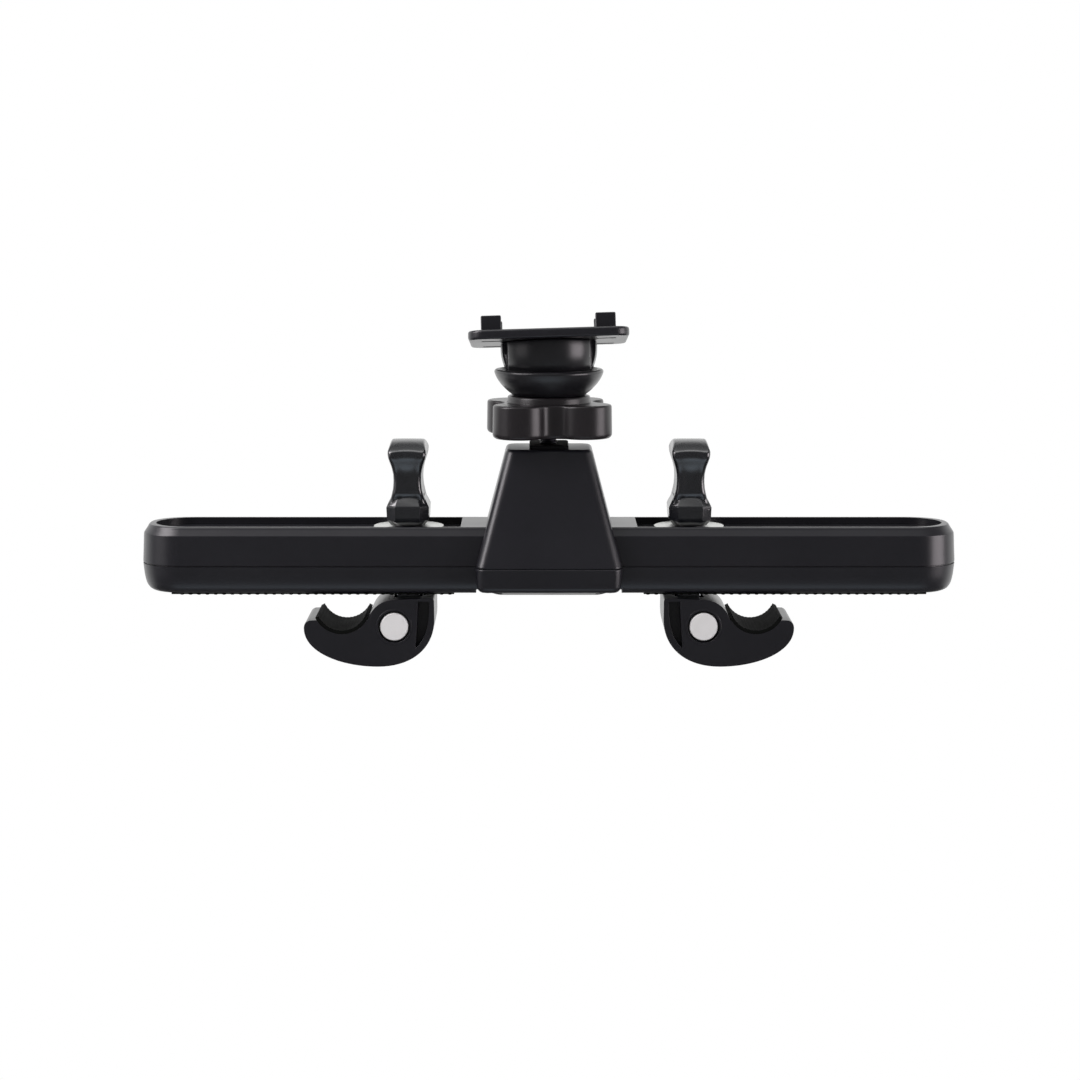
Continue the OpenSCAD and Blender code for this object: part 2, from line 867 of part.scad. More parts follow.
module hook() {
    recess_d = 3.6;
    room = 0.7;
    color([0.08, 0.08, 0.09])
        difference() {
            across(hook_w)
                hook_outline();
            for (y = [-1, 1])
                translate([0, y * (hook_w / 2 - recess_d / 2 + 0.5), 0])
                    across(recess_d + 1)
                        hook_recess();
            // Room for the carrier
            translate([pin_u, 0, -pin_z])
                rotate([90, 0, 0])
                    cylinder(r = pin_d / 2 + boss_t + gap, h = 2 * cheek_y, center = true);
            translate([-neck / 2 - room, -cheek_y, -pin_z - 4.4])
                cube([neck + 2 * room, 2 * cheek_y, 20]);
            // Pin bores through the cheeks, with a shallow ring round each pin's end
            translate([pin_u, 0, -pin_z])
                rotate([90, 0, 0])
                    cylinder(r = pin_d / 2 + fit, h = hook_w + 2, center = true);
            for (y = [-1, 1])
                translate([pin_u, y * hook_w / 2, -pin_z])
                    rotate([90, 0, 0])
                        cylinder(r = pin_d / 2 + 0.5, h = 1.6, center = true);
            // Room for the rod's end
            translate([0, 0, -16])
                cylinder(r = rod_r + 0.8, h = 10);
        }
}

module cradle_pad() {
    post_at = [post_u, post_z];
    color([0.07, 0.08, 0.07])
        across(hook_w)
            polygon(concat(
                arc(post_at, notch_r - tiny, -154, -26, 20),
                arc(post_at, notch_r - cradle_t, -26, -154, 20)
            ));
}

module left_disc() { at_left() disc(); }
module left_slide_block() { at_left() slide_block(); }
module left_wing_knob() { at_left() wing_knob(); }
module left_rod() { at_left() rod(); }
module left_carrier() { at_left() carrier(); }
module left_hook_pins() { at_left() hook_pins(); }
module left_hook() { at_left() hook(); }
module left_cradle_pad() { at_left() cradle_pad(); }
module right_disc() { at_right() disc(); }
module right_slide_block() { at_right() slide_block(); }
module right_wing_knob() { at_right() wing_knob(); }
module right_rod() { at_right() rod(); }
module right_carrier() { at_right() carrier(); }
module right_hook_pins() { at_right() hook_pins(); }
module right_hook() { at_right() hook(); }
module right_cradle_pad() { at_right() cradle_pad(); }

upper_shell();
lower_shell();
left_grip_pad();
right_grip_pad();
shell_screws();
riser_tower();
riser_base();
riser_screws();
stem_collar();
ball_stud();
stud_nut();
socket_cup();
clamp_nut();
nut_insert();
socket_liner();
friction_washer();
ball();
tab_plate();
plate_screw();
left_disc();
left_slide_block();
left_wing_knob();
left_rod();
left_carrier();
left_hook_pins();
left_hook();
left_cradle_pad();
right_disc();
right_slide_block();
right_wing_knob();
right_rod();
right_carrier();
right_hook_pins();
right_hook();
right_cradle_pad();
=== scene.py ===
"""Looks of the headrest tablet mount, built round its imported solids. Sizes are in mm unless said."""
import json
from math import acos, cos, degrees, hypot, pi, radians, sin, sqrt

import bmesh
import bpy
from mathutils import Matrix, Vector

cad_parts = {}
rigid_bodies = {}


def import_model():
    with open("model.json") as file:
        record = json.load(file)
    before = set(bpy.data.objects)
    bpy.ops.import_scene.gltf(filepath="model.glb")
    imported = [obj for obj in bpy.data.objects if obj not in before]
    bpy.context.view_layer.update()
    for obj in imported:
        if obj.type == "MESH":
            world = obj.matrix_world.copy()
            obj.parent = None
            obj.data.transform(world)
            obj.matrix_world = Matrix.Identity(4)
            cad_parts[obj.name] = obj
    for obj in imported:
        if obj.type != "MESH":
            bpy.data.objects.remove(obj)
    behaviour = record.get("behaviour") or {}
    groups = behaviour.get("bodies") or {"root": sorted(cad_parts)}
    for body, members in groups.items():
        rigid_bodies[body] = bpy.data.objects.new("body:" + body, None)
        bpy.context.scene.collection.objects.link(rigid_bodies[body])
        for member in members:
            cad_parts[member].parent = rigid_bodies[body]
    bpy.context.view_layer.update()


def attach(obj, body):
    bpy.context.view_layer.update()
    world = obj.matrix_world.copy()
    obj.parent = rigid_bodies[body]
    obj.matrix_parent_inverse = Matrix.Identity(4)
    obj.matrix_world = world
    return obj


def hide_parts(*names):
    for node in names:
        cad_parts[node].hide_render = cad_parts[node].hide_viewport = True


for leftover in list(bpy.data.objects):
    bpy.data.objects.remove(leftover)
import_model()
scene = bpy.context.scene

# Camera
# The photograph looks slightly down on the mount from about 0.73 m away, through a long lens,
# and the mount stands a little right of the picture's middle. Places are in metres here.
PHOTO_SIDE = 1080
FOCAL_PIXELS = 2690
SENSOR = 36
CAMERA_PLACE = (-0.0024, -0.724, 0.113)
LOOKS_DOWN = 7.86
lens = bpy.data.cameras.new("camera")
lens.sensor_fit = "HORIZONTAL"
lens.sensor_width = SENSOR
lens.lens = FOCAL_PIXELS * SENSOR / PHOTO_SIDE
camera = bpy.data.objects.new("camera", lens)
camera.location = CAMERA_PLACE
camera.rotation_euler = (radians(90 - LOOKS_DOWN), 0, 0)
scene.collection.objects.link(camera)
scene.camera = camera
scene.view_settings.view_transform = "Standard"

# Studio floor and light
# White paper just below the hooks' lowest reach, a large soft box overhead, a high soft panel and a
# weak low fill on the left, and a low panel on the right. Gloss sees white behind the mount and a
# dark room round the camera. Sizes are in metres here.
FLOOR_Z = -0.03
FLOOR_REACH = 4.0
PAPER_TONE = (0.9, 0.9, 0.9, 1)
ROOM_GLOW = 0.55
FRONT_GLOW = 0.15
BACK_GLOW = 1.25
TOP_GLOW = 0.8
TABLE_GLOW = 1.25
TABLE_TINT = (0.75, 0.87, 1, 1)
LIT_SPOT = Vector((0, 0, 0.02))


def add(tree, kind, inputs=None, **settings):
    """Adds a shader node with its settings; inputs holds values, or other nodes' outputs to link."""
    made = tree.nodes.new("ShaderNode" + kind)
    for key, value in settings.items():
        setattr(made, key, value)
    for key, value in (inputs or {}).items():
        if isinstance(value, bpy.types.NodeSocket):
            tree.links.new(value, made.inputs[key])
        else:
            made.inputs[key].default_value = value
    return made


floor_mesh = bpy.data.meshes.new("floor")
floor_mesh.from_pydata(
    [(x * FLOOR_REACH, y * FLOOR_REACH, FLOOR_Z) for x, y in ((-1, -1), (1, -1), (1, 1), (-1, 1))],
    [], [(0, 1, 2, 3)])
floor = bpy.data.objects.new("floor", floor_mesh)
scene.collection.objects.link(floor)
floor.visible_glossy = False
paper = bpy.data.materials.new("white paper sweep")
paper.use_nodes = True
tree = paper.node_tree
tree.nodes.clear()
matt = add(tree, "BsdfDiffuse", {"Color": PAPER_TONE})
glow = add(tree, "Emission", {"Color": (1, 1, 1, 1), "Strength": 1})
ray = add(tree, "LightPath")
both = add(tree, "MixShader", {0: ray.outputs["Is Camera Ray"], 1: matt.outputs[0], 2: glow.outputs[0]})
add(tree, "OutputMaterial", {"Surface": both.outputs[0]})
floor_mesh.materials.append(paper)

world = bpy.data.worlds.new("studio")
world.use_nodes = True
scene.world = world
tree = world.node_tree
tree.nodes.clear()
ray = add(tree, "LightPath")
towards = add(tree, "TexCoord")
split = add(tree, "SeparateXYZ", {0: towards.outputs["Generated"]})

# What gloss sees level with the mount: a bright wall behind it, and a dim room in front
behind = add(tree, "MapRange", {"Value": split.outputs["Y"], "From Min": -0.1, "From Max": 0.5},
             interpolation_type="SMOOTHSTEP")
clear = add(tree, "MapRange", {"Value": split.outputs["Z"], "From Min": -0.62, "From Max": -0.4},
            interpolation_type="SMOOTHSTEP")
wall = add(tree, "MapRange", {"Value": split.outputs["Z"], "From Min": 0.62, "From Max": 0.42},
           interpolation_type="SMOOTHSTEP")
lit = add(tree, "Math", {0: clear.outputs[0], 1: wall.outputs[0]}, operation="MULTIPLY")
far = add(tree, "Math", {0: behind.outputs[0], 1: lit.outputs[0]}, operation="MULTIPLY")
level = add(tree, "MapRange", {"Value": far.outputs[0], "To Min": FRONT_GLOW, "To Max": BACK_GLOW})

# What it sees straight above, and below in front, where the table is
above = add(tree, "MapRange", {"Value": split.outputs["Z"], "From Min": 0.6, "From Max": 1.0,
                               "To Min": 0, "To Max": TOP_GLOW}, interpolation_type="SMOOTHSTEP")
below = add(tree, "MapRange", {"Value": split.outputs["Z"], "From Min": -0.55, "From Max": -0.8,
                               "To Min": 0, "To Max": TABLE_GLOW}, interpolation_type="SMOOTHSTEP")
near = add(tree, "MapRange", {"Value": split.outputs["Y"], "From Min": -0.3, "From Max": -0.62})
table = add(tree, "Math", {0: below.outputs[0], 1: near.outputs[0]}, operation="MULTIPLY")
bright = add(tree, "Math", {0: above.outputs[0], 1: table.outputs[0]}, operation="MAXIMUM")
round_about = add(tree, "Math", {0: level.outputs[0], 1: bright.outputs[0]}, operation="MAXIMUM")

# The camera sees plain white, gloss sees the room so far, and every other ray gets an even light
shiny = add(tree, "Mix", {0: ray.outputs["Is Glossy Ray"], 2: ROOM_GLOW, 3: round_about.outputs[0]})
plain = add(tree, "Math", {0: ray.outputs["Is Camera Ray"], 1: ray.outputs["Is Transmission Ray"]},
            operation="MAXIMUM")
brightness = add(tree, "Mix", {0: plain.outputs[0], 2: shiny.outputs[0], 3: 1.0})
tint = add(tree, "Mix", {0: table.outputs[0], 6: (1, 1, 1, 1), 7: TABLE_TINT}, data_type="RGBA")
sky = add(tree, "Background", {"Color": tint.outputs[2], "Strength": brightness.outputs[0]})
add(tree, "OutputWorld", {"Surface": sky.outputs[0]})

for name, place, size, watts, colour in (
        ("overhead box", (0, -0.02, 0.95), (0.9, 0.6), 2.5, (1, 1, 1)),
        ("left panel", (-0.53, -0.18, 0.50), (0.36, 0.56), 5.4, (1, 0.95, 0.98)),
        ("left fill", (-0.68, -0.26, 0.10), (0.40, 0.46), 0.5, (1, 0.96, 0.98)),
        ("right panel", (0.68, -0.24, 0.08), (0.44, 0.46), 3.4, (1, 0.92, 0.96))):
    box = bpy.data.lights.new(name, "AREA")
    box.color = colour
    box.shape = "RECTANGLE"
    box.size, box.size_y = size
    box.energy = watts
    lamp = bpy.data.objects.new(name, box)
    lamp.location = place
    lamp.rotation_euler = (LIT_SPOT - Vector(place)).to_track_quat("-Z", "Y").to_euler()
    scene.collection.objects.link(lamp)

# Rail shells
# Two injection-moulded ABS shells that meet at a parting line, spark-eroded to a fine satin grain.
# The top shell has a bevel along its edge and two channels, each with a slot for a clamp's rod.
MM = 0.001
RAIL_L, RAIL_W, RAIL_H, RAIL_R = 220, 25.6, 18, 11.5
PARTING_Z = 7.7
WALL = 2
CHANNEL_IN, CHANNEL_OUT, CHANNEL_HALF, CHANNEL_D = 23.7, 106.5, 10.1, 2
SLOT_IN, SLOT_OUT, SLOT_HALF = 30.5, 98.5, 3
BLOCK_SLOT_OUT, BLOCK_SLOT_HALF = 101, 5.5
SHELL_SCREWS = (22.6, 104.5)
SCREW_R = 1.4
BOSS_R = SCREW_R + 1.4
PAD_Y, PAD_W, PAD_SINK = 7.7, 3, 0.5
RISER_W, RISER_D = 39, 38.4


def linear(code):
    """An sRGB hex colour as linear red, green, blue and alpha."""
    parts = [int(code[i:i + 2], 16) / 255 for i in (1, 3, 5)]
    return [p / 12.92 if p <= 0.04045 else ((p + 0.055) / 1.055) ** 2.4 for p in parts] + [1]


def moulded(name, dark, light, roughness, grain, depth, gloss=0.5):
    """Moulded plastic: a grain of that size in mm, two near colours, and a slightly uneven sheen."""
    made = bpy.data.materials.new(name)
    made.use_nodes = True
    tree = made.node_tree
    tree.nodes.clear()
    at = add(tree, "TexCoord").outputs["Object"]
    flow = add(tree, "TexNoise", {"Vector": at, "Scale": 1 / (18 * MM), "Detail": 3.0})
    fine = add(tree, "TexNoise", {"Vector": at, "Scale": 1 / (grain * MM), "Detail": 2.0})
    tone = add(tree, "Mix", {0: flow.outputs["Fac"], 6: linear(dark), 7: linear(light)},
               data_type="RGBA")
    sheen = add(tree, "MapRange", {"Value": flow.outputs["Fac"], "To Min": roughness - 0.05,
                                   "To Max": roughness + 0.05})
    relief = add(tree, "Bump", {"Height": fine.outputs["Fac"], "Strength": 0.6, "Distance": depth * MM})
    face = add(tree, "BsdfPrincipled", {
        "Base Color": tone.outputs[2], "Roughness": sheen.outputs[0], "IOR": 1.5,
        "Specular IOR Level": gloss, "Normal": relief.outputs[0]})
    add(tree, "OutputMaterial", {"Surface": face.outputs[0]})
    return made


def surface(name, points, faces, material):
    """An object from points in mm and their faces, with doubled points merged and all faces outward."""
    mesh = bpy.data.meshes.new(name)
    mesh.from_pydata([(x * MM, y * MM, z * MM) for x, y, z in points], [], faces)
    work = bmesh.new()
    work.from_mesh(mesh)
    bmesh.ops.remove_doubles(work, verts=work.verts, dist=1e-7)
    bmesh.ops.recalc_face_normals(work, faces=work.faces)
    work.to_mesh(mesh)
    work.free()
    mesh.materials.append(material)
    made = bpy.data.objects.new(name, mesh)
    scene.collection.objects.link(made)
    return made


def skin(name, loops, material, ring=False):
    """Joins closed loops of points into one surface, with end faces, or round to the first loop."""
    count = len(loops[0])
    total = len(loops)
    faces = []
    for k in range(total if ring else total - 1):
        a, b = k * count, (k + 1) % total * count
        faces += [(a + i, a + (i + 1) % count, b + (i + 1) % count, b + i) for i in range(count)]
    if not ring:
        faces += [tuple(range(count)), tuple(range((total - 1) * count, total * count))]
    return surface(name, [point for loop in loops for point in loop], faces, material)


def cut(piece, tools, operation="DIFFERENCE"):
    """Cuts tools out of a piece, or joins them to it, and removes them."""
    for tool in tools:
        step = piece.modifiers.new("step", "BOOLEAN")
        step.operation, step.object, step.solver = operation, tool, "EXACT"
    bpy.context.view_layer.update()
    shaped = bpy.data.meshes.new_from_object(piece.evaluated_get(bpy.context.evaluated_depsgraph_get()))
    piece.modifiers.clear()
    piece.data = shaped
    for tool in tools:
        bpy.data.objects.remove(tool)
    return piece


def dress(piece, edge=0.2, angle=35, steps=2):
    """Breaks the sharp edges by that many mm, merges points that fall together, and smooths the rest."""
    piece.data.shade_smooth()
    if edge:
        bevel = piece.modifiers.new("edges", "BEVEL")
        bevel.width = edge * MM
        bevel.segments = steps
        bevel.limit_method = "ANGLE"
        bevel.angle_limit = radians(angle)
        bevel.miter_outer = "MITER_ARC"
    else:
        piece.data.set_sharp_from_angle(angle=radians(angle))
    weld = piece.modifiers.new("weld", "WELD")
    weld.merge_threshold = 0.002 * MM
    flat = piece.modifiers.new("shading", "WEIGHTED_NORMAL")
    flat.keep_sharp = True
    flat.weight = 60
    return piece


def frame_ring(length, width, radius, z, steps=9):
    """A loop round a rectangle with round corners."""
    loop = []
    for sx, sy, start in ((1, 1, 0), (-1, 1, 90), (-1, -1, 180), (1, -1, 270)):
        for i in range(steps + 1):
            turn = radians(start + 90 * i / steps)
            loop.append((sx * (length / 2 - radius) + radius * cos(turn),
                         sy * (width / 2 - radius) + radius * sin(turn), z))
    return loop


def frame_stack(name, length, width, radius, levels, material):
    """A round-cornered block from levels of (height, inset)."""
    loops = [frame_ring(length - 2 * i, width - 2 * i, radius - i, z) for z, i in levels]
    return skin(name, loops, material)


def rod_tool(x, y, r, z0, z1, steps=40):
    """A plain round tool for cutting bores, or a boss to join."""
    turns = [2 * pi * i / steps for i in range(steps)]
    loops = [[(x + r * cos(t), y + r * sin(t), z) for t in turns] for z in (z0, z1)]
    return skin("tool", loops, abs_black)


def block_tool(x0, x1, y0, y1, z0, z1):
    """A plain square tool for cutting pockets."""
    loops = [[(x0, y0, z), (x1, y0, z), (x1, y1, z), (x0, y1, z)] for z in (z0, z1)]
    return skin("tool", loops, abs_black)


def slot_tool(x0, x1, half, z0, z1, round_start=True, steps=18):
    """A slot with a round far end, and a round or square near end."""
    outline = [(x1 - half + half * cos(t), half * sin(t))
               for t in (radians(-90 + 180 * i / steps) for i in range(steps + 1))]
    if round_start:
        outline += [(x0 + half + half * cos(t), half * sin(t))
                    for t in (radians(90 + 180 * i / steps) for i in range(steps + 1))]
    else:
        outline += [(x0, half), (x0, -half)]
    return skin("tool", [[(x, y, z) for x, y in outline] for z in (z0, z1)], abs_black)


def mirrored(tool):
    """The same tool on the other side of the middle."""
    other = tool.copy()
    other.data = tool.data.copy()
    other.data.transform(Matrix.Diagonal((-1, 1, 1, 1)))
    other.data.flip_normals()
    scene.collection.objects.link(other)
    return other


# Dyed ABS with a spark-eroded grain of about 0.3 mm: near black, satin, and grey where it is grazed
abs_black = moulded("satin black ABS", "#111116", "#17171c", 0.33, 0.3, 0.010)

# Heights and insets: the lip at the parting line, the drafted side, the bevel and its soft top edge
top_levels = [(7.72, 1.0), (7.72, 0.1), (7.78, 0.03), (8.3, 0.03), (15.5, 0.36), (15.72, 0.42),
              (15.85, 0.5), (17.2, 1.4), (17.45, 1.54), (17.7, 1.67), (17.88, 1.82), (18, 2.05)]
shell = frame_stack("rail_top_shell", RAIL_L, RAIL_W, RAIL_R, top_levels, abs_black)
cut(shell, [frame_stack("tool", RAIL_L - 2 * WALL - 1, RAIL_W - 2 * WALL - 1, RAIL_R - WALL,
                        [(PARTING_Z - 1, 0), (13.4, 0), (13.9, 0.3), (14, 0.7)], abs_black)])
bosses = [rod_tool(s * x, 0, BOSS_R, PARTING_Z + 0.1, 14.3) for x in SHELL_SCREWS for s in (-1, 1)]
cut(shell, bosses, "UNION")
channel = slot_tool(CHANNEL_IN, CHANNEL_OUT, CHANNEL_HALF, RAIL_H - CHANNEL_D, RAIL_H + 1, False, 32)
rod_slot = slot_tool(SLOT_IN, SLOT_OUT, SLOT_HALF, 13, RAIL_H + 1)
cut(shell, [channel, mirrored(channel)])
cut(shell, [rod_slot, mirrored(rod_slot)] + [
    rod_tool(s * x, 0, SCREW_R, PARTING_Z - 1, 12.7) for x in SHELL_SCREWS for s in (-1, 1)])
dress(shell, 0.1, 40)
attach(shell, "rail")
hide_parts("upper_shell")

# The same from the parting line down: a shadow groove, the drafted side and the round foot
low_levels = [(7.68, 1.0), (7.68, 0.5), (7.44, 0.48), (7.42, 0.02), (5.0, 0.28), (4.0, 0.42),
              (3.0, 0.62), (2.1, 0.88), (1.4, 1.2), (0.8, 1.65), (0.35, 2.25), (0.08, 2.95), (0, 3.6)]
shell = frame_stack("rail_lower_shell", RAIL_L, RAIL_W, RAIL_R, low_levels, abs_black)
cut(shell, [frame_stack("tool", RAIL_L - 2 * WALL - 2, RAIL_W - 2 * WALL - 2, RAIL_R - WALL - 1,
                        [(2.4, 0.7), (2.5, 0.3), (3, 0), (9, 0)], abs_black)])
cut(shell, [rod_tool(s * x, 0, BOSS_R, 2.1, 7.6) for x in SHELL_SCREWS for s in (-1, 1)], "UNION")

# The slots for the slide blocks, the grooves for the strips, the screws' bores and the riser's seat
tools = []
for s in (-1, 1):
    x0, x1 = sorted((s * (SLOT_IN - 4), s * BLOCK_SLOT_OUT))
    tools.append(block_tool(x0, x1, -BLOCK_SLOT_HALF, BLOCK_SLOT_HALF, -1, 5))
    x0, x1 = sorted((s * (SLOT_IN - 5), s * (SLOT_OUT + 3)))
    for y in (-PAD_Y, PAD_Y):
        tools.append(block_tool(x0, x1, y - PAD_W / 2, y + PAD_W / 2, -1, PAD_SINK))
    for x in SHELL_SCREWS:
        tools.append(rod_tool(s * x, 0, SCREW_R, -1, 9))
        tools.append(rod_tool(s * x, 0, SCREW_R + 1.2, -1, 1.6))
tools.append(block_tool(-RISER_W / 2 - 0.06, RISER_W / 2 + 0.06, -20, 20, -1, 1.26))
for tool in tools:
    cut(shell, [tool])
dress(shell, 0.1, 40)
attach(shell, "rail")
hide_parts("lower_shell")

# Grip strips
# Two strips of ribbed rubber on each side, pressed into grooves under the rail, to hold the posts.
# The moulded ribs run from front to back. Black and matt, a shade browner than the ABS.


def rubber(name, dark, light, grain):
    """Moulded rubber: matt, with next to no gloss even when grazed, and a fine pitted skin."""
    made = bpy.data.materials.new(name)
    made.use_nodes = True
    tree = made.node_tree
    tree.nodes.clear()
    at = add(tree, "TexCoord").outputs["Object"]
    pits = add(tree, "TexVoronoi", {"Vector": at, "Scale": 1 / (grain * MM)})
    cloud = add(tree, "TexNoise", {"Vector": at, "Scale": 1 / (6 * MM), "Detail": 4.0})
    tone = add(tree, "Mix", {0: cloud.outputs["Fac"], 6: linear(dark), 7: linear(light)},
               data_type="RGBA")
    sheen = add(tree, "MapRange", {"Value": cloud.outputs["Fac"], "To Min": 0.62, "To Max": 0.8})
    relief = add(tree, "Bump", {"Height": pits.outputs["Distance"], "Strength": 0.5,
                                "Distance": 0.04 * MM})
    face = add(tree, "BsdfPrincipled", {
        "Base Color": tone.outputs[2], "Roughness": sheen.outputs[0], "IOR": 1.5,
        "Specular IOR Level": 0.02, "Normal": relief.outputs[0]})
    add(tree, "OutputMaterial", {"Surface": face.outputs[0]})
    return made


# Nitrile rubber, moulded and unpolished: dead black, with almost no highlight
nitrile = rubber("matt black nitrile rubber", "#090a09", "#0f100f", 0.35)

RIB_PITCH, RIB_H, RIB_FOOT = 2.25, 0.54, 0.38
STRIP_ACROSS = (-1.5, -1.44, 1.44, 1.5)
for side, s in (("left", -1), ("right", 1)):
    start, end = SLOT_IN - 5, SLOT_OUT + 3
    ribs = int((end - start) / RIB_PITCH)
    outline = [(end, PAD_SINK), (start, PAD_SINK), (start, -RIB_FOOT)]
    for i in range(ribs):
        foot = start + i * RIB_PITCH
        outline += [(foot + 0.25 * RIB_PITCH, -RIB_FOOT), (foot + 0.4 * RIB_PITCH, -RIB_H),
                    (foot + 0.6 * RIB_PITCH, -RIB_H), (foot + 0.75 * RIB_PITCH, -RIB_FOOT)]
    outline.append((end, -RIB_FOOT))
    strips = [skin("strip", [[(s * x, y + d, z) for x, z in outline] for d in STRIP_ACROSS], nitrile)
              for y in (-PAD_Y, PAD_Y)]
    pad = cut(strips[0], [strips[1]], "UNION")
    pad.name = side + "_grip_strips"
    dress(pad, 0, 30)
    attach(pad, "rail")
    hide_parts(side + "_grip_pad")

# Screws
# Zinc-plated cross-head screws: four hold the rail's shells together, four hold the riser's base.
# Each head is formed in a press, with a slight dome and a cross recess.


def metal(name, dark, light, roughness, grain, stretch=(1, 1, 1), depth=0.004, pure=1.0):
    """A metal with fine marks of that size in mm, drawn out along one axis where it is turned."""
    made = bpy.data.materials.new(name)
    made.use_nodes = True
    tree = made.node_tree
    tree.nodes.clear()
    at = add(tree, "TexCoord").outputs["Object"]
    along = add(tree, "Mapping", {"Vector": at, "Scale": stretch})
    marks = add(tree, "TexNoise", {"Vector": along.outputs[0], "Scale": 1 / (grain * MM), "Detail": 3.0})
    tone = add(tree, "Mix", {0: marks.outputs["Fac"], 6: linear(dark), 7: linear(light)},
               data_type="RGBA")
    sheen = add(tree, "MapRange", {"Value": marks.outputs["Fac"], "To Min": roughness - 0.07,
                                   "To Max": roughness + 0.07})
    relief = add(tree, "Bump", {"Height": marks.outputs["Fac"], "Strength": 0.4,
                                "Distance": depth * MM})
    face = add(tree, "BsdfPrincipled", {
        "Base Color": tone.outputs[2], "Metallic": pure, "Roughness": sheen.outputs[0],
        "Normal": relief.outputs[0]})
    add(tree, "OutputMaterial", {"Surface": face.outputs[0]})
    return made


# Zinc plate on steel: light grey with a faint blue cast and a fine, cloudy bloom
zinc = metal("zinc-plated steel", "#a9adb2", "#c9ccd0", 0.32, 0.5)


def turned(name, profile, material, steps=64, at=(0, 0)):
    """A turned solid from its half section, a closed outline of (radius, height)."""
    loops = [[(at[0] + r * cos(t), at[1] + r * sin(t), z) for r, z in profile]
             for t in (2 * pi * i / steps for i in range(steps))]
    return skin(name, loops, material, ring=True)


def cross_screw(spot, shank_r, head_r, foot, top):
    """A screw with its head down: the foot is the height of its head's underside face."""
    profile = [(0, foot), (0, top), (shank_r - 0.3, top), (shank_r, top - 0.6), (shank_r, foot + 1.2),
               (head_r, foot + 1.2), (head_r, foot + 0.5), (head_r - 0.2, foot + 0.2),
               (head_r - 0.7, foot + 0.05), (head_r - 1.2, foot)]
    screw = turned("screw", profile, zinc, 40, spot)
    arm, half = head_r * 0.55, head_r * 0.13
    x, y = spot
    for along_x, along_y in ((arm, half), (half, arm)):
        cut(screw, [block_tool(x - along_x, x + along_x, y - along_y, y + along_y, foot - 1, foot + 0.7)])
    return screw


def gather(name, pieces):
    """Joins finished meshes into one object."""
    work = bmesh.new()
    for piece in pieces:
        work.from_mesh(piece.data)
    mesh = bpy.data.meshes.new(name)
    work.to_mesh(mesh)
    work.free()
    mesh.materials.append(pieces[0].data.materials[0])
    for piece in pieces:
        bpy.data.objects.remove(piece)
    made = bpy.data.objects.new(name, mesh)
    scene.collection.objects.link(made)
    return made


screws = gather("shell_screw_set", [cross_screw((s * x, 0), SCREW_R, 2.5, 0.4, 11.4)
                                    for s in (-1, 1) for x in SHELL_SCREWS])
dress(screws, 0.08, 40)
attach(screws, "rail")
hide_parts("shell_screws")

RISER_SCREW_R = 1.2
RISER_SCREWS = [(x, y) for x in (-14.5, 14.5) for y in (-15.296, 15.296)]
screws = gather("riser_screw_set", [cross_screw(spot, RISER_SCREW_R, 2.05, 1.6, 11.1)
                                    for spot in RISER_SCREWS])
dress(screws, 0.08, 40)
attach(screws, "rail")
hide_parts("riser_screws")

# Riser
# A hollow ABS tower astride the rail, with a base collar that closes under the rail. Its upright
# edges are rounded and polished by the mould, so they carry a soft light line.
RISER_TOP_W, RISER_TOP_D, RISER_H, RISER_R = 23.2, 19.4, 38.6, 2.8


def riser_levels(levels):
    """Loops of the tower from (height, inset)."""
    loops = []
    for z, inset in levels:
        t = (z - PARTING_Z) / (RISER_H - 0.5 - PARTING_Z)
        width = RISER_W + (RISER_TOP_W - RISER_W) * t
        depth = RISER_D + (RISER_TOP_D - RISER_D) * t
        loops.append(frame_ring(width - 2 * inset, depth - 2 * inset, RISER_R - inset, z, 10))
    return loops


def rail_passage(name, z0, z1, slack=0.05):
    """The rail's section, for the passage through the riser."""
    half = RAIL_W / 2 + slack
    points = [(half - 1.6, 1.2), (half - 1.3, 1.7), (half - 0.4, 4.4), (half, PARTING_Z),
              (half - 0.4, 15.8), (half - 1.2, RAIL_H)]
    points = [(y, z) for y, z in points if z0 <= z <= z1]
    points = [(points[0][0], z0)] + points + [(points[-1][0], z1)]
    outline = points + [(-y, z) for y, z in reversed(points)]
    return skin(name, [[(x, y, z) for y, z in outline] for x in (-30, 30)], abs_black)


tower = skin("riser_tower_shell", riser_levels([
    (7.74, 0.9), (7.74, 0.4), (7.8, 0.18), (7.98, 0.05), (8.3, 0), (37.7, 0), (38.1, 0.08), (38.4, 0.3),
    (38.55, 0.6), (38.6, 1.0)]), abs_black)
cut(tower, [rail_passage("tool", 5, RAIL_H)])
cut(tower, [skin("tool", [frame_ring(23, 17.4, 2, RAIL_H - 1), frame_ring(15.2, 11.4, 2, RISER_H - 4.6)],
                 abs_black)])
cut(tower, [rod_tool(0, 0, 2.4, 30, 42)])
for x, y in RISER_SCREWS:
    cut(tower, [rod_tool(x, y, RISER_SCREW_R, 6, 11.9)])
dress(tower, 0.15, 50)
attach(tower, "rail")
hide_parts("riser_tower")

base = skin("riser_base_collar", [
    frame_ring(RISER_W - 2 * i, RISER_D - 2 * i, RISER_R - min(i, 1.6), z, 10) for z, i in (
        (0, 6.4), (0.05, 6), (1.15, 2.1), (1.3, 1.4), (1.6, 0.9), (2.1, 0.5), (2.8, 0.3), (7.2, 0.02),
        (7.5, 0.06), (7.62, 0.18), (7.66, 0.4), (7.66, 0.9))], abs_black)
cut(base, [rail_passage("tool", 1.2, 9)])
for x, y in RISER_SCREWS:
    cut(base, [rod_tool(x, y, RISER_SCREW_R, -1, 9)])
    cut(base, [rod_tool(x, y, RISER_SCREW_R + 0.95, -2, 3.8)])
dress(base, 0.15, 50)
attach(base, "rail")
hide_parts("riser_base")

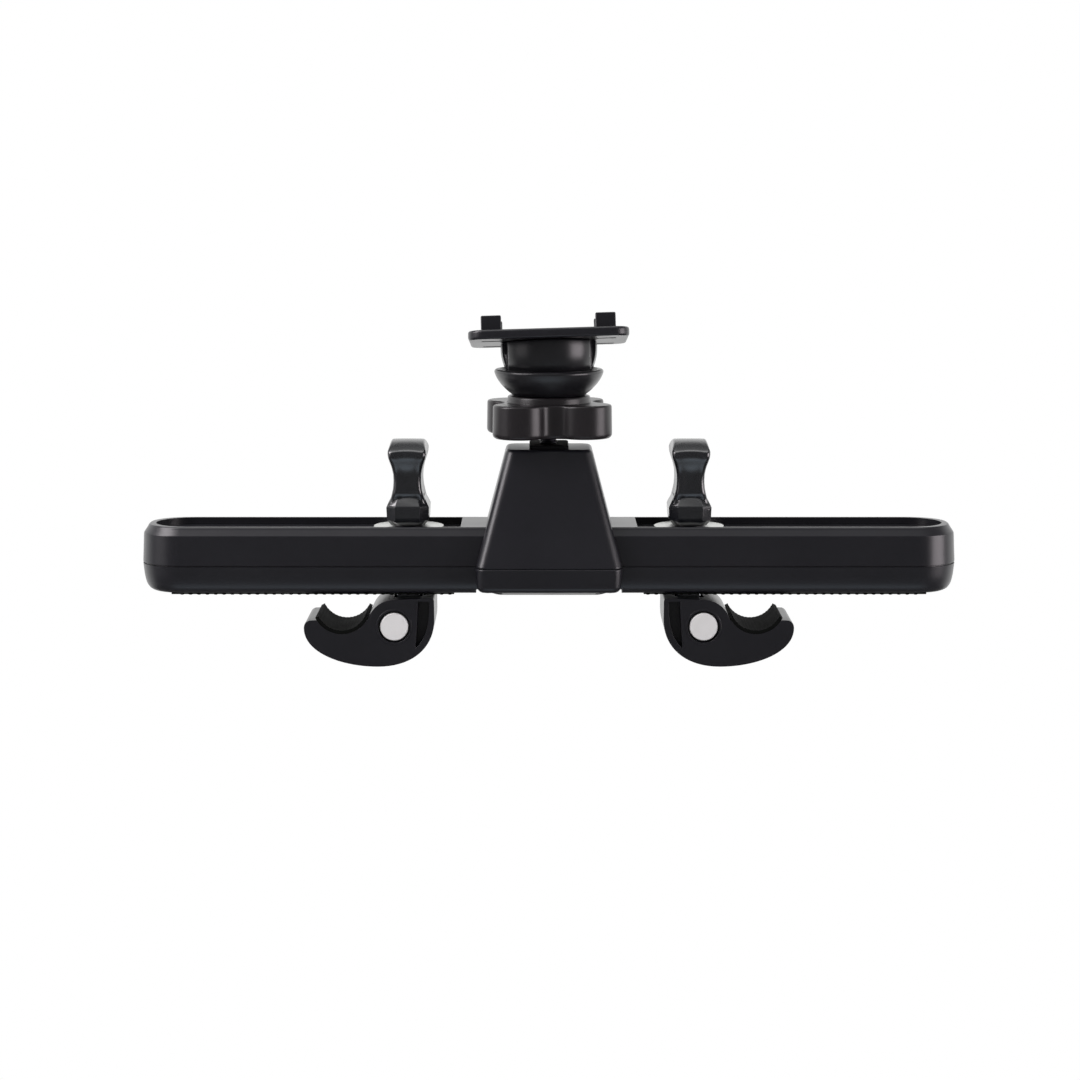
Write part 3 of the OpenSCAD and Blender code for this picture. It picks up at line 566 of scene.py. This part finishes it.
# Stem collar, ball stud and its nut
# A small moulded collar on the riser, and a steel stud that runs from a nut inside the riser up
# through the clamp nut into the ball. The stud is threaded and blackened.
STEM_W, STEM_D = 10.5, 16
STUD_R = 2.4
THREAD_PITCH = 0.8
BALL_Z = 65.1

# The same ABS left as it comes from a coarse mould: dead matt, so it stays dark when it is grazed
abs_matt = moulded("matt black ABS", "#0c0c0d", "#121214", 0.70, 0.5, 0.03, 0.06)

collar = skin("stem_collar_ring", [
    frame_ring(STEM_W - 2 * i, STEM_D - 2 * i, 1.2 - min(i, 0.5), RISER_H + z) for z, i in (
        (0, 0), (0.7, 0), (0.9, 0.1), (1.0, 0.35))], abs_matt)
cut(collar, [rod_tool(0, 0, STUD_R, 30, 50)])
dress(collar, 0, 50)
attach(collar, "rail")
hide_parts("stem_collar")


def threaded(name, radius, pitch, z0, z1, material, depth=0.55, steps=28):
    """A rod with a real helical thread, cut square at both ends."""
    turns = int((z1 - z0) / pitch) - 1
    count = turns * steps
    crest, root = radius, radius - depth * pitch
    section = ((root, 0.0), (crest, 0.32), (crest, 0.48), (root, 0.8))
    verts = []
    faces = []
    for k in range(count + 1):
        t = 2 * pi * k / steps
        for r, dz in section:
            verts.append((r * cos(t), r * sin(t), z0 + (k / steps + dz) * pitch))
    row = len(section)
    for k in range(count):
        for j in range(row - 1):
            a = k * row + j
            faces.append((a, a + row, a + row + 1, a + 1))
        a = k * row + row - 1
        above = (k + steps) * row
        if k + steps < count:
            faces.append((a, a + row, above + row, above))
    first = [k * row for k in range(steps + 1)]
    last = [(count - steps + k) * row + row - 1 for k in range(steps + 1)]
    low, high = len(verts), len(verts) + steps
    verts += [(root * cos(2 * pi * k / steps), root * sin(2 * pi * k / steps), z0) for k in range(steps)]
    verts += [(root * cos(2 * pi * k / steps), root * sin(2 * pi * k / steps), z1) for k in range(steps)]
    tail = count * row
    for k in range(1, steps):
        faces.append((last[k], last[k + 1], high + (k + 1) % steps, high + k))
        faces.append((low + k - 1, low + k, first[k], first[k - 1]))
    faces.append((last[0], last[1], high + 1, high, tail + 3, tail))
    faces.append((low + steps - 1, low, 3, first[steps], first[steps - 1]))
    faces.append((0, 1, 2, 3))
    faces.append((tail, tail + 1, tail + 2, tail + 3))
    faces.append(tuple(low + k for k in range(steps)))
    faces.append(tuple(high + k for k in range(steps)))
    return surface(name, verts, faces, material)


# Steel with a black oxide: dark grey metal with an oily, slightly rough skin
oxide = metal("black oxide steel", "#2c2c30", "#3a3a3e", 0.36, 0.4)


def hexagon(name, radius, z0, z1, material, edge=0.3, hole=0.0):
    """A hexagon head or nut with its corners chamfered, and a bore if hole is given."""
    loops = []
    for z, inset in ((z0, edge), (z0 + edge * 0.6, 0), (z1 - edge * 0.6, 0), (z1, edge)):
        r = radius - inset
        loops.append([(r * cos(radians(60 * i)), r * sin(radians(60 * i)), z) for i in range(6)])
    made = skin(name, loops, material)
    if hole:
        cut(made, [rod_tool(0, 0, hole, z0 - 1, z1 + 1)])
    return made


stud = gather("threaded_ball_stud", [
    threaded("thread", STUD_R, THREAD_PITCH, 28.6, 60.5, oxide),
    hexagon("head", 4.5, 60.3, 63.1, oxide)])
dress(stud, 0, 30)
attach(stud, "rail")
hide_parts("ball_stud")

nut = hexagon("stud_lock_nut", 4.6, 30, 34, zinc, 0.35, STUD_R)
dress(nut, 0.12, 40)
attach(nut, "rail")
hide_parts("stud_nut")

# Clamp nut
# A hand nut with four round lobes over a brass insert, moulded in glass-filled nylon. Its flanks
# are smooth, with soft fillets in the valleys, and a round collar stands on its top.
NUT_Z = 41.7
LOBE_AT, LOBE_R, VALLEY_PULL, FLANK = 12.3, 7.3, 2.2, 95
NUT_TURN = -39

# Glass-filled nylon: dark, faintly purple-brown, semi-gloss with a slight flow texture
nylon_brown = moulded("semi-gloss glass-filled nylon", "#161416", "#1e1b1d", 0.33, 0.45, 0.008, 0.4)


def bend(a, b, c, d, steps):
    """Points on a cubic curve from a to d, without the last one."""
    points = []
    for i in range(steps):
        t = i / steps
        s = 1 - t
        points.append(tuple(s ** 3 * p + 3 * s * s * t * q + 3 * s * t * t * m + t ** 3 * n
                            for p, q, m, n in zip(a, b, c, d)))
    return points


def sweep(centre, radius, start, end, steps):
    """Points on an arc, angles in degrees."""
    turns = [radians(start + (end - start) * i / steps) for i in range(steps + 1)]
    return [(centre[0] + radius * cos(t), centre[1] + radius * sin(t)) for t in turns]


def lobed(inset, z, blend=0.0, plain_r=0.0):
    """A loop round the four lobes, set in by inset and blended towards a plain circle."""
    loop = []
    for axis in range(NUT_TURN, NUT_TURN + 360, 90):
        lobe, following = [sweep((LOBE_AT * cos(radians(a)), LOBE_AT * sin(radians(a))), LOBE_R - inset,
                                 a - FLANK, a + FLANK, 30) for a in (axis, axis + 90)]
        start, end = lobe[-1], following[0]
        out, back = radians(axis + 90 + FLANK), radians(axis - FLANK)
        leave = (start[0] + VALLEY_PULL * cos(out), start[1] + VALLEY_PULL * sin(out))
        arrive = (end[0] + VALLEY_PULL * cos(back), end[1] + VALLEY_PULL * sin(back))
        loop += lobe[:-1] + bend(start, leave, arrive, end, 12)
    return [(x + (x / hypot(x, y) * plain_r - x) * blend, y + (y / hypot(x, y) * plain_r - y) * blend, z)
            for x, y in loop]


# From the underside up: its rounded edge, the flanks, the top's soft edge, and then the round collar
nut_loops = [lobed(2.4, NUT_Z, 0.7, 9), lobed(1.2, NUT_Z)]
nut_loops += [lobed(1.2 - 1.2 * sin(t), NUT_Z + 1.2 - 1.2 * cos(t)) for t in map(radians, (20, 40, 60, 80))]
nut_loops += [lobed(inset, NUT_Z + z) for inset, z in (
    (0, 1.5), (0.1, 8.3), (0.16, 8.6), (0.32, 8.85), (0.6, 8.97), (0.95, 9))]
nut_loops += [lobed(0, NUT_Z + z, 1, r) for r, z in (
    (11.45, 9), (11.36, 9.05), (11.3, 9.3), (11.14, 10.3), (11.0, 10.62), (10.75, 10.77), (10.4, 10.8))]
nut = skin("lobed_clamp_nut", nut_loops, nylon_brown)
cut(nut, [rod_tool(0, 0, STUD_R + 2, 40, 54, 48)])
dress(nut, 0, 40)
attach(nut, "clamp_nut")
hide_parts("clamp_nut")

# Turned brass: warm yellow, with fine turning rings about 0.1 mm apart
brass = metal("turned brass", "#b08d4a", "#cfae66", 0.25, 0.3, (0.2, 0.2, 3))
insert = turned("brass_nut_insert", [
    (STUD_R + 0.36, NUT_Z), (STUD_R + 0.06, NUT_Z + 0.3), (STUD_R + 0.06, NUT_Z + 10.5),
    (STUD_R + 0.36, NUT_Z + 10.8), (STUD_R + 1.8, NUT_Z + 10.8), (STUD_R + 2, NUT_Z + 10.6),
    (STUD_R + 2, NUT_Z + 0.2), (STUD_R + 1.8, NUT_Z)], brass, 48)
dress(insert, 0, 40)
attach(insert, "clamp_nut")
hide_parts("nut_insert")

# Socket cup and liner
# A turned-looking moulded cup in polished acetal, flared to a rounded rim, that the ball sits in.
# A thin nylon ring lines its seat.
CUP_Z, CUP_H = 52.6, 7.1
CUP_RIM_R, CUP_FOOT_R = 14.7, 10.15
SEAT_R, SEAT_LOW, BALL_UP = 14.3, 1.5, 12.5

# Polished acetal: deep black, with soft and clean reflections
acetal = moulded("polished black acetal", "#131316", "#18181b", 0.29, 0.8, 0.006)

seat_start = -degrees(acos((BALL_UP - SEAT_LOW) / SEAT_R)) - 90
seat_end = -degrees(acos((BALL_UP - CUP_H) / SEAT_R)) - 90
seat = [(-r, z) for r, z in sweep((0, BALL_UP), SEAT_R, seat_start, seat_end, 16)]
rim = (CUP_RIM_R - 0.75, CUP_H - 0.8)
profile = [(STUD_R, SEAT_LOW), (STUD_R, 0), (CUP_FOOT_R - 0.5, 0), (CUP_FOOT_R - 0.15, 0.15)]
profile += bend((CUP_FOOT_R, 0.4), (CUP_FOOT_R + 1.6, 1.5), (CUP_RIM_R - 0.8, CUP_H - 3.4),
                (CUP_RIM_R - 0.14, CUP_H - 1.3), 18)
profile += sweep(rim, 0.75, -28, 84, 12) + seat[::-1]
cup = turned("polished_socket_cup", [(r, z + CUP_Z) for r, z in profile], acetal, 96)
dress(cup, 0, 40)
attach(cup, "rail")
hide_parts("socket_cup")

# Natural nylon dyed black: dull and slightly waxy
nylon_dull = moulded("waxy black nylon", "#1b1b1d", "#232326", 0.45, 0.6, 0.008)
LINER_IN, LINER_OUT = 13.3, 14.0
low_cut, high_cut = -BALL_UP + 2.6, -BALL_UP + 2.6 + CUP_H - 3
heights = [low_cut + (high_cut - low_cut) * i / 12 for i in range(13)]
inner = [(sqrt(LINER_IN ** 2 - z * z), z) for z in heights]
outer = [(sqrt(LINER_OUT ** 2 - z * z), z) for z in heights]
liner = turned("nylon_socket_ring", [(r, z + BALL_Z) for r, z in inner + outer[::-1]], nylon_dull, 96)
dress(liner, 0, 40)
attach(liner, "socket_liner")
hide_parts("socket_liner")

# Friction washer
# A pressed dish of zinc-plated steel inside the ball. The stud's head pulls it down on the ball's
# inner wall, and so locks the ball.
DISH_R, DISH_TOP = 10.2, 4.8
dish = [(STUD_R, -7.8), (STUD_R, -DISH_TOP - 0.15), (STUD_R + 0.15, -DISH_TOP)]
dish += [(sqrt(DISH_R ** 2 - z * z), z) for z in (-DISH_TOP - 3 * i / 10 for i in range(11))]
washer = turned("friction_dish", [(r, z + BALL_Z) for r, z in dish], zinc, 72)
dress(washer, 0, 35)
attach(washer, "rail")
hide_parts("friction_washer")

# Ball
# A hollow acetal ball with two flat-sided bands at its front and rear, moulded and polished.
# It carries the plate on a short spigot, and leans in the cup.
BALL_R, BALL_WALL, BALL_CUT, BALL_TOP = 13, 2.5, 8.4, 1.7
PLATE_T, CAP_SINK, TURN_GAP = 2.5, 1.2, 0.05
SPIGOT_TOP = BALL_TOP + PLATE_T - CAP_SINK + 2 * TURN_GAP
BAND_HALF, CHEEK_BACK = 11, 3.5
LEAN_BY, LEAN_TOWARDS = radians(-7.7), radians(12.8)
LEAN = Matrix.Translation((0, 0, BALL_Z * MM)) @ Matrix.Rotation(
    LEAN_BY, 4, Vector((cos(LEAN_TOWARDS), sin(LEAN_TOWARDS), 0)))

ball_outline = [(0, -0.3), (0, BALL_TOP), (sqrt(BALL_R ** 2 - BALL_TOP ** 2) - 0.3, BALL_TOP),
                (sqrt(BALL_R ** 2 - (BALL_TOP - 0.3) ** 2), BALL_TOP - 0.3)]
ball_outline += [(sqrt(BALL_R ** 2 - z * z), z)
                 for z in (BALL_TOP - 0.3 - (BALL_CUT + BALL_TOP - 0.3) * i / 26 for i in range(1, 27))]
inside = BALL_R - BALL_WALL
ball_outline += [(sqrt(inside ** 2 - z * z), z)
                 for z in (-BALL_CUT + (BALL_CUT - 0.3) * i / 20 for i in range(21))]
ball = turned("hollow_ball", ball_outline, acetal, 96)
cheeks = []
for sx in (-1, 1):
    for sy in (-1, 1):
        x0, x1 = sorted((sx * BAND_HALF, sx * (BAND_HALF + 5)))
        y0, y1 = sorted((sy * CHEEK_BACK, sy * (CHEEK_BACK + 10)))
        cheeks.append(block_tool(x0, x1, y0, y1, -20, 20))
cut(ball, cheeks)
cut(ball, [rod_tool(0, 0, 4, BALL_TOP - 1, SPIGOT_TOP, 48)], "UNION")
cut(ball, [rod_tool(0, 0, SCREW_R, -1, 9)])
ball.data.transform(LEAN)
dress(ball, 0.25, 40, 3)
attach(ball, "ball")
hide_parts("ball")

screw = turned("plate_retaining_screw", [
    (0, -0.3), (SCREW_R - 0.2, -0.3), (SCREW_R, 0), (SCREW_R, SPIGOT_TOP), (6.4, SPIGOT_TOP),
    (6.6, SPIGOT_TOP + 0.2), (6.6, SPIGOT_TOP + 0.75), (6.4, SPIGOT_TOP + 0.95), (6.1, SPIGOT_TOP + 1),
    (0, SPIGOT_TOP + 1)], oxide, 64)
cut(screw, [block_tool(-2.6, 2.6, -0.5, 0.5, SPIGOT_TOP + 0.35, 9)])
cut(screw, [block_tool(-0.5, 0.5, -2.6, 2.6, SPIGOT_TOP + 0.35, 9)])
screw.data.transform(LEAN)
dress(screw, 0.08, 40)
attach(screw, "ball")
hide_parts("plate_screw")

# Tab plate
# The plate that the tablet holder hooks on to: ABS, with four tabs whose lips point to the back.
# A slot under each lip is where the mould's core came through.
PLATE_W, PLATE_D, PLATE_R = 42.6, 36, 4.5
TAB_DX, TAB_DY, TAB_W, TAB_H = 15.2, 10.5, 5.4, 4.2
plate_z = BALL_TOP + TURN_GAP
rounding = ((0, 0.7), (0.06, 0.4), (0.25, 0.14), (0.5, 0.03), (0.8, 0))
plate_levels = [(plate_z + z, i) for z, i in rounding]
plate_levels += [(plate_z + PLATE_T - z, i) for z, i in reversed(rounding)]
plate = frame_stack("four_tab_plate", PLATE_W, PLATE_D, PLATE_R, plate_levels, abs_black)
cut(plate, [rod_tool(0, 0, 4.06, 0, 9, 48)])
cut(plate, [rod_tool(0, 0, 7, plate_z + PLATE_T - CAP_SINK, 9, 64)])
for sx in (-1, 1):
    for sy in (-1, 1):
        x, y = sx * TAB_DX, sy * TAB_DY
        cut(plate, [block_tool(x - TAB_W / 2, x + TAB_W / 2, y + 0.9, y + 3.5, 0, 9)])
        foot = plate_z + PLATE_T
        head = foot + TAB_H
        loops = []
        for dx, i in ((-0.5, 0.32), (-0.482, 0.1), (-0.44, 0), (0.44, 0), (0.482, 0.1), (0.5, 0.32)):
            section = ((-0.9 + i, foot - 0.3), (0.9 - i, foot - 0.3), (0.9 - i, head - 1.5 + i),
                       (2.5 - i, head - 1.5 + i), (2.5 - i, head - 0.35 - i), (2.15 - i, head - i),
                       (-0.55 + i, head - i), (-0.8 + i, head - 0.1 - i), (-0.9 + i, head - 0.35 - i))
            loops.append([(x + dx * TAB_W, y + dy, z) for dy, z in section])
        cut(plate, [skin("tab", loops, abs_black)], "UNION")
plate.data.transform(LEAN)
dress(plate, 0.3, 40, 3)
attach(plate, "plate")
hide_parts("tab_plate")

# Clamps
# Each clamp is the same set of pieces, mirrored left and right. They are drawn for the right clamp
# with the rod at X = 0, and then moved out to the clamp's place.
CLAMP_X = 38


def to_side(piece, side):
    """Moves a piece drawn for the right clamp, with its rod at X = 0, to its own side."""
    piece.data.transform(Matrix.Translation((CLAMP_X * MM, 0, 0)))
    if side == "left":
        piece.data.transform(Matrix.Diagonal((-1, 1, 1, 1)))
        piece.data.flip_normals()
    return piece


def both_sides(draw, node, body, edge, angle=35, steps=2):
    """Draws a clamp's piece for each side and puts it on its body, in place of its solid."""
    for side in ("left", "right"):
        piece = to_side(draw(side), side)
        dress(piece, edge, angle, steps)
        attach(piece, side + "_" + body)
        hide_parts(side + "_" + node)


# Washer discs
# A bright nickel-plated washer lies loose under each knob, round its rod. It is pressed from steel
# sheet, and slides along the channel's floor with the clamp.
ROD_R = 2.5
DISC_R, DISC_Z, DISC_T = 9.6, 16.05, 1.15

# Bright nickel plate: near white, with a very fine haze in its reflections
nickel = metal("bright nickel plate", "#b4b5b2", "#c2c3c0", 0.30, 0.35, (1, 1, 1), 0.0015)


def draw_disc(side):
    """The washer, with its upper rim rounded by the press."""
    top = DISC_Z + DISC_T
    profile = [(ROD_R + 0.06, DISC_Z), (ROD_R + 0.06, top - 0.15), (ROD_R + 0.2, top),
               (DISC_R - 0.45, top), (DISC_R - 0.15, top - 0.1), (DISC_R, top - 0.4),
               (DISC_R, DISC_Z + 0.15), (DISC_R - 0.15, DISC_Z)]
    return turned(side + "_washer", profile, nickel, 96)


both_sides(draw_disc, "disc", "slider", 0, 40)

# Slide blocks
# A nylon block slides inside the rail under each washer, with a tongue in the lower shell's slot.
# Moulded with a square passage, it keeps the carrier's neck from turning.


def draw_block(side):
    """The block, its tongue and the square passage."""
    wide = skin(side + "_nylon_block", [frame_ring(14 - 2 * i, 16 - 2 * i, 0.8 - i / 2, z) for z, i in (
        (2.5, 0.3), (2.8, 0), (6.2, 0), (6.5, 0.3))], nylon_dull)
    tongue = skin("tongue", [frame_ring(14 - 2 * i, 10.4 - 2 * i, 0.8 - i / 2, z) for z, i in (
        (0.4, 0.3), (0.7, 0), (4, 0))], nylon_dull)
    cut(wide, [tongue], "UNION")
    return cut(wide, [block_tool(-3.26, 3.26, -3.26, 3.26, -2, 9)])


both_sides(draw_block, "slide_block", "slider", 0.15, 40)

# Wing knobs
# Thumb knobs moulded in glass-filled nylon: a faceted hub, and a wing that thins to a waist for the
# finger and thumb, under an arched top. Polished, with dished faces that show a cool, soft highlight.
HUB_Z = 17.8
ARCH_FROM, ARCH_OVER, ARCH_RISE, ARCH_DROP = 14, 8.2, 0.6, 2.5

# Glass-filled nylon in a blue-black: semi-gloss, with strong and cool highlights
nylon_blue = moulded("semi-gloss blue-black nylon", "#0d0e12", "#131519", 0.25, 0.5, 0.006, 1.0)


def knob_ring(half_x, half_y, corner, dish, z, steps=5, along=8):
    """A loop round the wing at one height: round corners, with the four sides dished in between."""
    loop = []
    for sx, sy, start in ((1, 1, 0), (-1, 1, 90), (-1, -1, 180), (1, -1, 270)):
        loop += sweep((sx * (half_x - corner), sy * (half_y - corner)), corner, start, start + 90, steps)
        x, y = loop[-1]
        span_x, span_y = 2 * (half_x - corner), 2 * (half_y - corner)
        for i in range(1, along):
            t = i / along
            pull = dish * 4 * t * (1 - t)
            if start in (0, 180):
                loop.append((x - sy * span_x * t, y - sy * pull))
            else:
                loop.append((x - sx * pull, y + sx * span_y * t))
    return [(x, y, HUB_Z + z) for x, y in loop]


def wing_half(z):
    """Half width across the wing, seen from the front, and half depth, seen from the side."""
    front = ((4.4, 5.5), (5.2, 5.3), (6.4, 4.9), (8, 4.35), (10, 3.9), (12, 3.72), (14, 3.8),
             (16, 4.15), (18, 4.7), (19.6, 5.05), (20.8, 5.15), (21.5, 5.12), (21.9, 5.0), (22.1, 4.8),
             (22.2, 4.6))
    deep = ((4.4, 7.3), (5.2, 6.9), (6.4, 6.7), (7.4, 6.85), (8.2, 7.55), (9, 7.68), (10, 7.72),
            (12, 7.82), (14, 8.05), (15, 8.26), (16, 8.57), (17, 8.95), (18, 9.36), (19, 9.75),
            (19.8, 9.98), (20.8, 10.1), (21.5, 10.05), (21.9, 9.95), (22.1, 9.75), (22.2, 9.5))
    return tuple(next(a[1] + (b[1] - a[1]) * (z - a[0]) / (b[0] - a[0])
                      for a, b in zip(table, table[1:]) if a[0] <= z <= b[0]) for table in (front, deep))


def hub_loop(half_x, half_y, corner, z):
    """A loop round the hub: a rectangle with its corners cut off."""
    return [(x, y, HUB_Z + z) for x, y in (
        (half_x, half_y - corner), (half_x - corner, half_y), (corner - half_x, half_y),
        (-half_x, half_y - corner), (-half_x, corner - half_y), (corner - half_x, -half_y),
        (half_x - corner, -half_y), (half_x, corner - half_y))]


def draw_knob(side):
    """The wing up to its arched top, joined to the hub and the small foot under it."""
    heights = [4.4 + 0.8 * i for i in range(20)] + [20.2, 20.8, 21.2, 21.5, 21.7, 21.9, 22.0, 22.1, 22.2]
    loops = [knob_ring(*wing_half(z), 1.3, 0.5, z) for z in heights]
    loops += [knob_ring(4.6 * f, 9.5 * f, 1.2 * f, 0.3 * f, 22.28 - 0.08 * f ** 4)
              for f in (0.95, 0.88, 0.78, 0.66, 0.53, 0.4, 0.27, 0.14, 0.04)]
    arched = []
    for loop in loops:
        arched.append([])
        for x, y, z in loop:
            up = max(0, (z - HUB_Z - ARCH_FROM) / ARCH_OVER)
            arched[-1].append((x, y, z + up * (ARCH_RISE - ARCH_DROP * (y / 10) ** 2)))
    wing = skin(side + "_thumb_knob", arched, nylon_blue)
    hub = skin("hub", [hub_loop(4.4, 7.2, 2.0, 0), hub_loop(5.6, 8.4, 2.4, 1.5),
                       hub_loop(5.75, 8.55, 2.4, 4.9), hub_loop(5.5, 8.3, 2.3, 5.5),
                       hub_loop(4.4, 6.7, 1.8, 7.7)], nylon_blue)
    cut(wing, [hub], "UNION")
    cut(wing, [rod_tool(0, 0, 4.2, HUB_Z - 0.55, HUB_Z + 0.4)], "UNION")
    cut(wing, [rod_tool(0, 0, ROD_R, HUB_Z - 2, HUB_Z + 2)])
    return cut(wing, [hexagon("tool", 4.4, HUB_Z + 1, HUB_Z + 4.2, nylon_blue, 0.01)])


both_sides(draw_knob, "wing_knob", "knob", 0.22, 38, 3)

# Threaded rods
# An M5 rod of zinc-plated steel with a rolled thread runs down from each knob, through the washer
# and the slide block, into the carrier. Its hexagon head is moulded into the knob.
ROD_END_Z = -13.5


def draw_rod(side):
    """The threaded part and the head inside the knob."""
    return gather(side + "_threaded_rod", [
        threaded("thread", ROD_R, THREAD_PITCH, ROD_END_Z, HUB_Z + 1.2, zinc),
        hexagon("head", 4.4, HUB_Z + 1.0, HUB_Z + 4.2, zinc, 0.2)])


both_sides(draw_rod, "rod", "knob", 0, 30)

# Carriers and hook pins
# A steel nut block rides on the rod: a square neck in the slide block, and a wide body inside the
# hook with a round boss. Two turned pins, nickel plated, join it to the hook's cheeks.
PIN_U, PIN_Z, PIN_R = 3.6, 9, 3.75
CARRIER_Y = 5.9
HOOK_W = 22


def lying(name, u, z, radius, y0, y1, material, steps=48, edge=0.0):
    """A round bar along Y, with its far edges broken."""
    ends = ((y0, edge), (y0 + edge, 0), (y1 - edge, 0), (y1, edge)) if edge else ((y0, 0), (y1, 0))
    turns = [2 * pi * i / steps for i in range(steps)]
    loops = [[(u + (radius - inset) * cos(t), y, z + (radius - inset) * sin(t)) for t in turns]
             for y, inset in ends]
    return skin(name, loops, material)


def draw_carrier(side):
    """The neck, the body with its round boss, the rod's bore and the pins' seats."""
    neck = skin(side + "_nut_carrier", [
        frame_ring(6.4 - 2 * i, 6.4 - 2 * i, 0.5 - i / 2, z) for z, i in (
            (-PIN_Z, 0), (10.1, 0), (10.5, 0.4))], zinc)
    cut(neck, [lying("boss", PIN_U, -PIN_Z, PIN_R + 1.3, -CARRIER_Y, CARRIER_Y, zinc, 48, 0.3)], "UNION")
    cut(neck, [block_tool(-3.2, 3.2, -CARRIER_Y, CARRIER_Y, -PIN_Z - 3.6, -PIN_Z + 3.0)], "UNION")
    cut(neck, [rod_tool(0, 0, ROD_R + 0.06, -40, 40)])
    for y in (-1, 1):
        cut(neck, [lying("tool", PIN_U, -PIN_Z, PIN_R, y * CARRIER_Y - 2, y * CARRIER_Y + 2, zinc)])
    return neck


both_sides(draw_carrier, "carrier", "carrier", 0.2, 40)

# Satin nickel: bead-blasted before plating, so it scatters the light into an even pale grey. It is
# only partly metallic here, or it would mirror the dark room in front
satin_nickel = metal("satin nickel plate", "#d2d2d1", "#dddddc", 0.50, 0.25, (1, 1, 1), 0.002, 0.35)


def draw_pins(side):
    """One pin in each cheek of the hook, with its edges broken."""
    inner, outer = CARRIER_Y - 2, HOOK_W / 2
    pins = []
    for s in (-1, 1):
        y0, y1 = sorted((s * inner, s * outer))
        pins.append(lying("pin", PIN_U, -PIN_Z, PIN_R, y0, y1, satin_nickel, 64, 0.22))
    return gather(side + "_pin_pair", pins)


both_sides(draw_pins, "hook_pins", "carrier", 0, 40)

# Hooks
# Moulded ABS hooks with a cradle for the headrest post, a round hub for the pins, a boxed back wall
# and a deep moulded recess beside the hub. The outer edges are rounded over.
NOTCH_R, POST_U, POST_Z = 7.9, 17.7, -3.1
BACK, BELLY, TIP = -7.2, 19.9, POST_U + 10.2


def across(name, outline, y0, y1, material):
    """A prism across the hook, from its outline of (distance out, height)."""
    return skin(name, [[(u, y, z) for u, z in outline] for y in (y0, y1)], material)


def draw_hook(side):
    """The hook's body, its recesses, the carrier's room inside, and the bead round each pin."""
    outline = bend((BACK, -7), (BACK, -14.5), (-1.5, -BELLY), (8, -BELLY), 18)
    outline += bend((8, -BELLY), (18, -BELLY), (TIP, -16), (TIP, -9.4), 22)
    outline += bend((TIP, -9.4), (TIP, -8), (TIP - 0.8, -7.3), (TIP - 2, -7.2), 6)
    outline += sweep((POST_U, POST_Z), NOTCH_R, -31.3, -147, 28)
    outline += sweep((PIN_U, -PIN_Z), PIN_R + 3.55, 16, 90, 14)
    outline += [(-5.2, -1.35)] + sweep((BACK + 0.75, -2.05), 0.7, 90, 174, 6)
    hook = across(side + "_hook_body", outline, -HOOK_W / 2, HOOK_W / 2, abs_black)
    recess = [(-2.9, -2.1)] + bend((-5.9, -2.2), (-5.8, -8.6), (-5.2, -11.8), (-2.1, -14.9), 10)
    recess.append((-2.1, -14.9))
    for s in (-1, 1):
        y0, y1 = sorted((s * (HOOK_W / 2 - 3.6), s * (HOOK_W / 2 + 1)))
        cut(hook, [across("tool", recess, y0, y1, abs_black)])
    cut(hook, [lying("tool", PIN_U, -PIN_Z, PIN_R + 1.6, -6.2, 6.2, abs_black, 64)])
    cut(hook, [block_tool(-3.9, 3.9, -6.2, 6.2, -PIN_Z - 4.4, 8)])
    cut(hook, [lying("tool", PIN_U, -PIN_Z, PIN_R + 0.06, -14, 14, abs_black, 64)])
    for s in (-1, 1):
        y0, y1 = sorted((s * (HOOK_W / 2 - 0.5), s * (HOOK_W / 2 + 0.12)))
        cut(hook, [lying("tool", PIN_U, -PIN_Z, PIN_R + 1.05, y0, y1, abs_black, 64)], "UNION")
        y0, y1 = sorted((s * (HOOK_W / 2 - 1.5), s * (HOOK_W / 2 + 2)))
        cut(hook, [lying("tool", PIN_U, -PIN_Z, PIN_R + 0.6, y0, y1, abs_black, 64)])
    return cut(hook, [rod_tool(0, 0, ROD_R + 0.8, -16, -6)])


both_sides(draw_hook, "hook", "hook", 0.45, 38, 3)

# Cradle pads
# A liner of moulded nitrile rubber is glued into each hook's cradle, to hold the post and not mark
# it. It has low ribs along the post, and its two ends stand a little proud.
CRADLE_T = 1


def draw_cradle(side):
    """The liner, from its glued outer face to its ribbed inner one."""
    outer = sweep((POST_U, POST_Z), NOTCH_R - 0.01, -154, -26, 40)
    inner = []
    for i in range(129):
        a = radians(-26 - i)
        rib = 0.06 * (0.5 - 0.5 * cos(2 * pi * i / 8))
        r = NOTCH_R - CRADLE_T + rib
        inner.append((POST_U + r * cos(a), POST_Z + r * sin(a)))
    return across(side + "_ribbed_liner", outer + inner, -HOOK_W / 2, HOOK_W / 2, nitrile)


both_sides(draw_cradle, "cradle_pad", "hook", 0, 50)
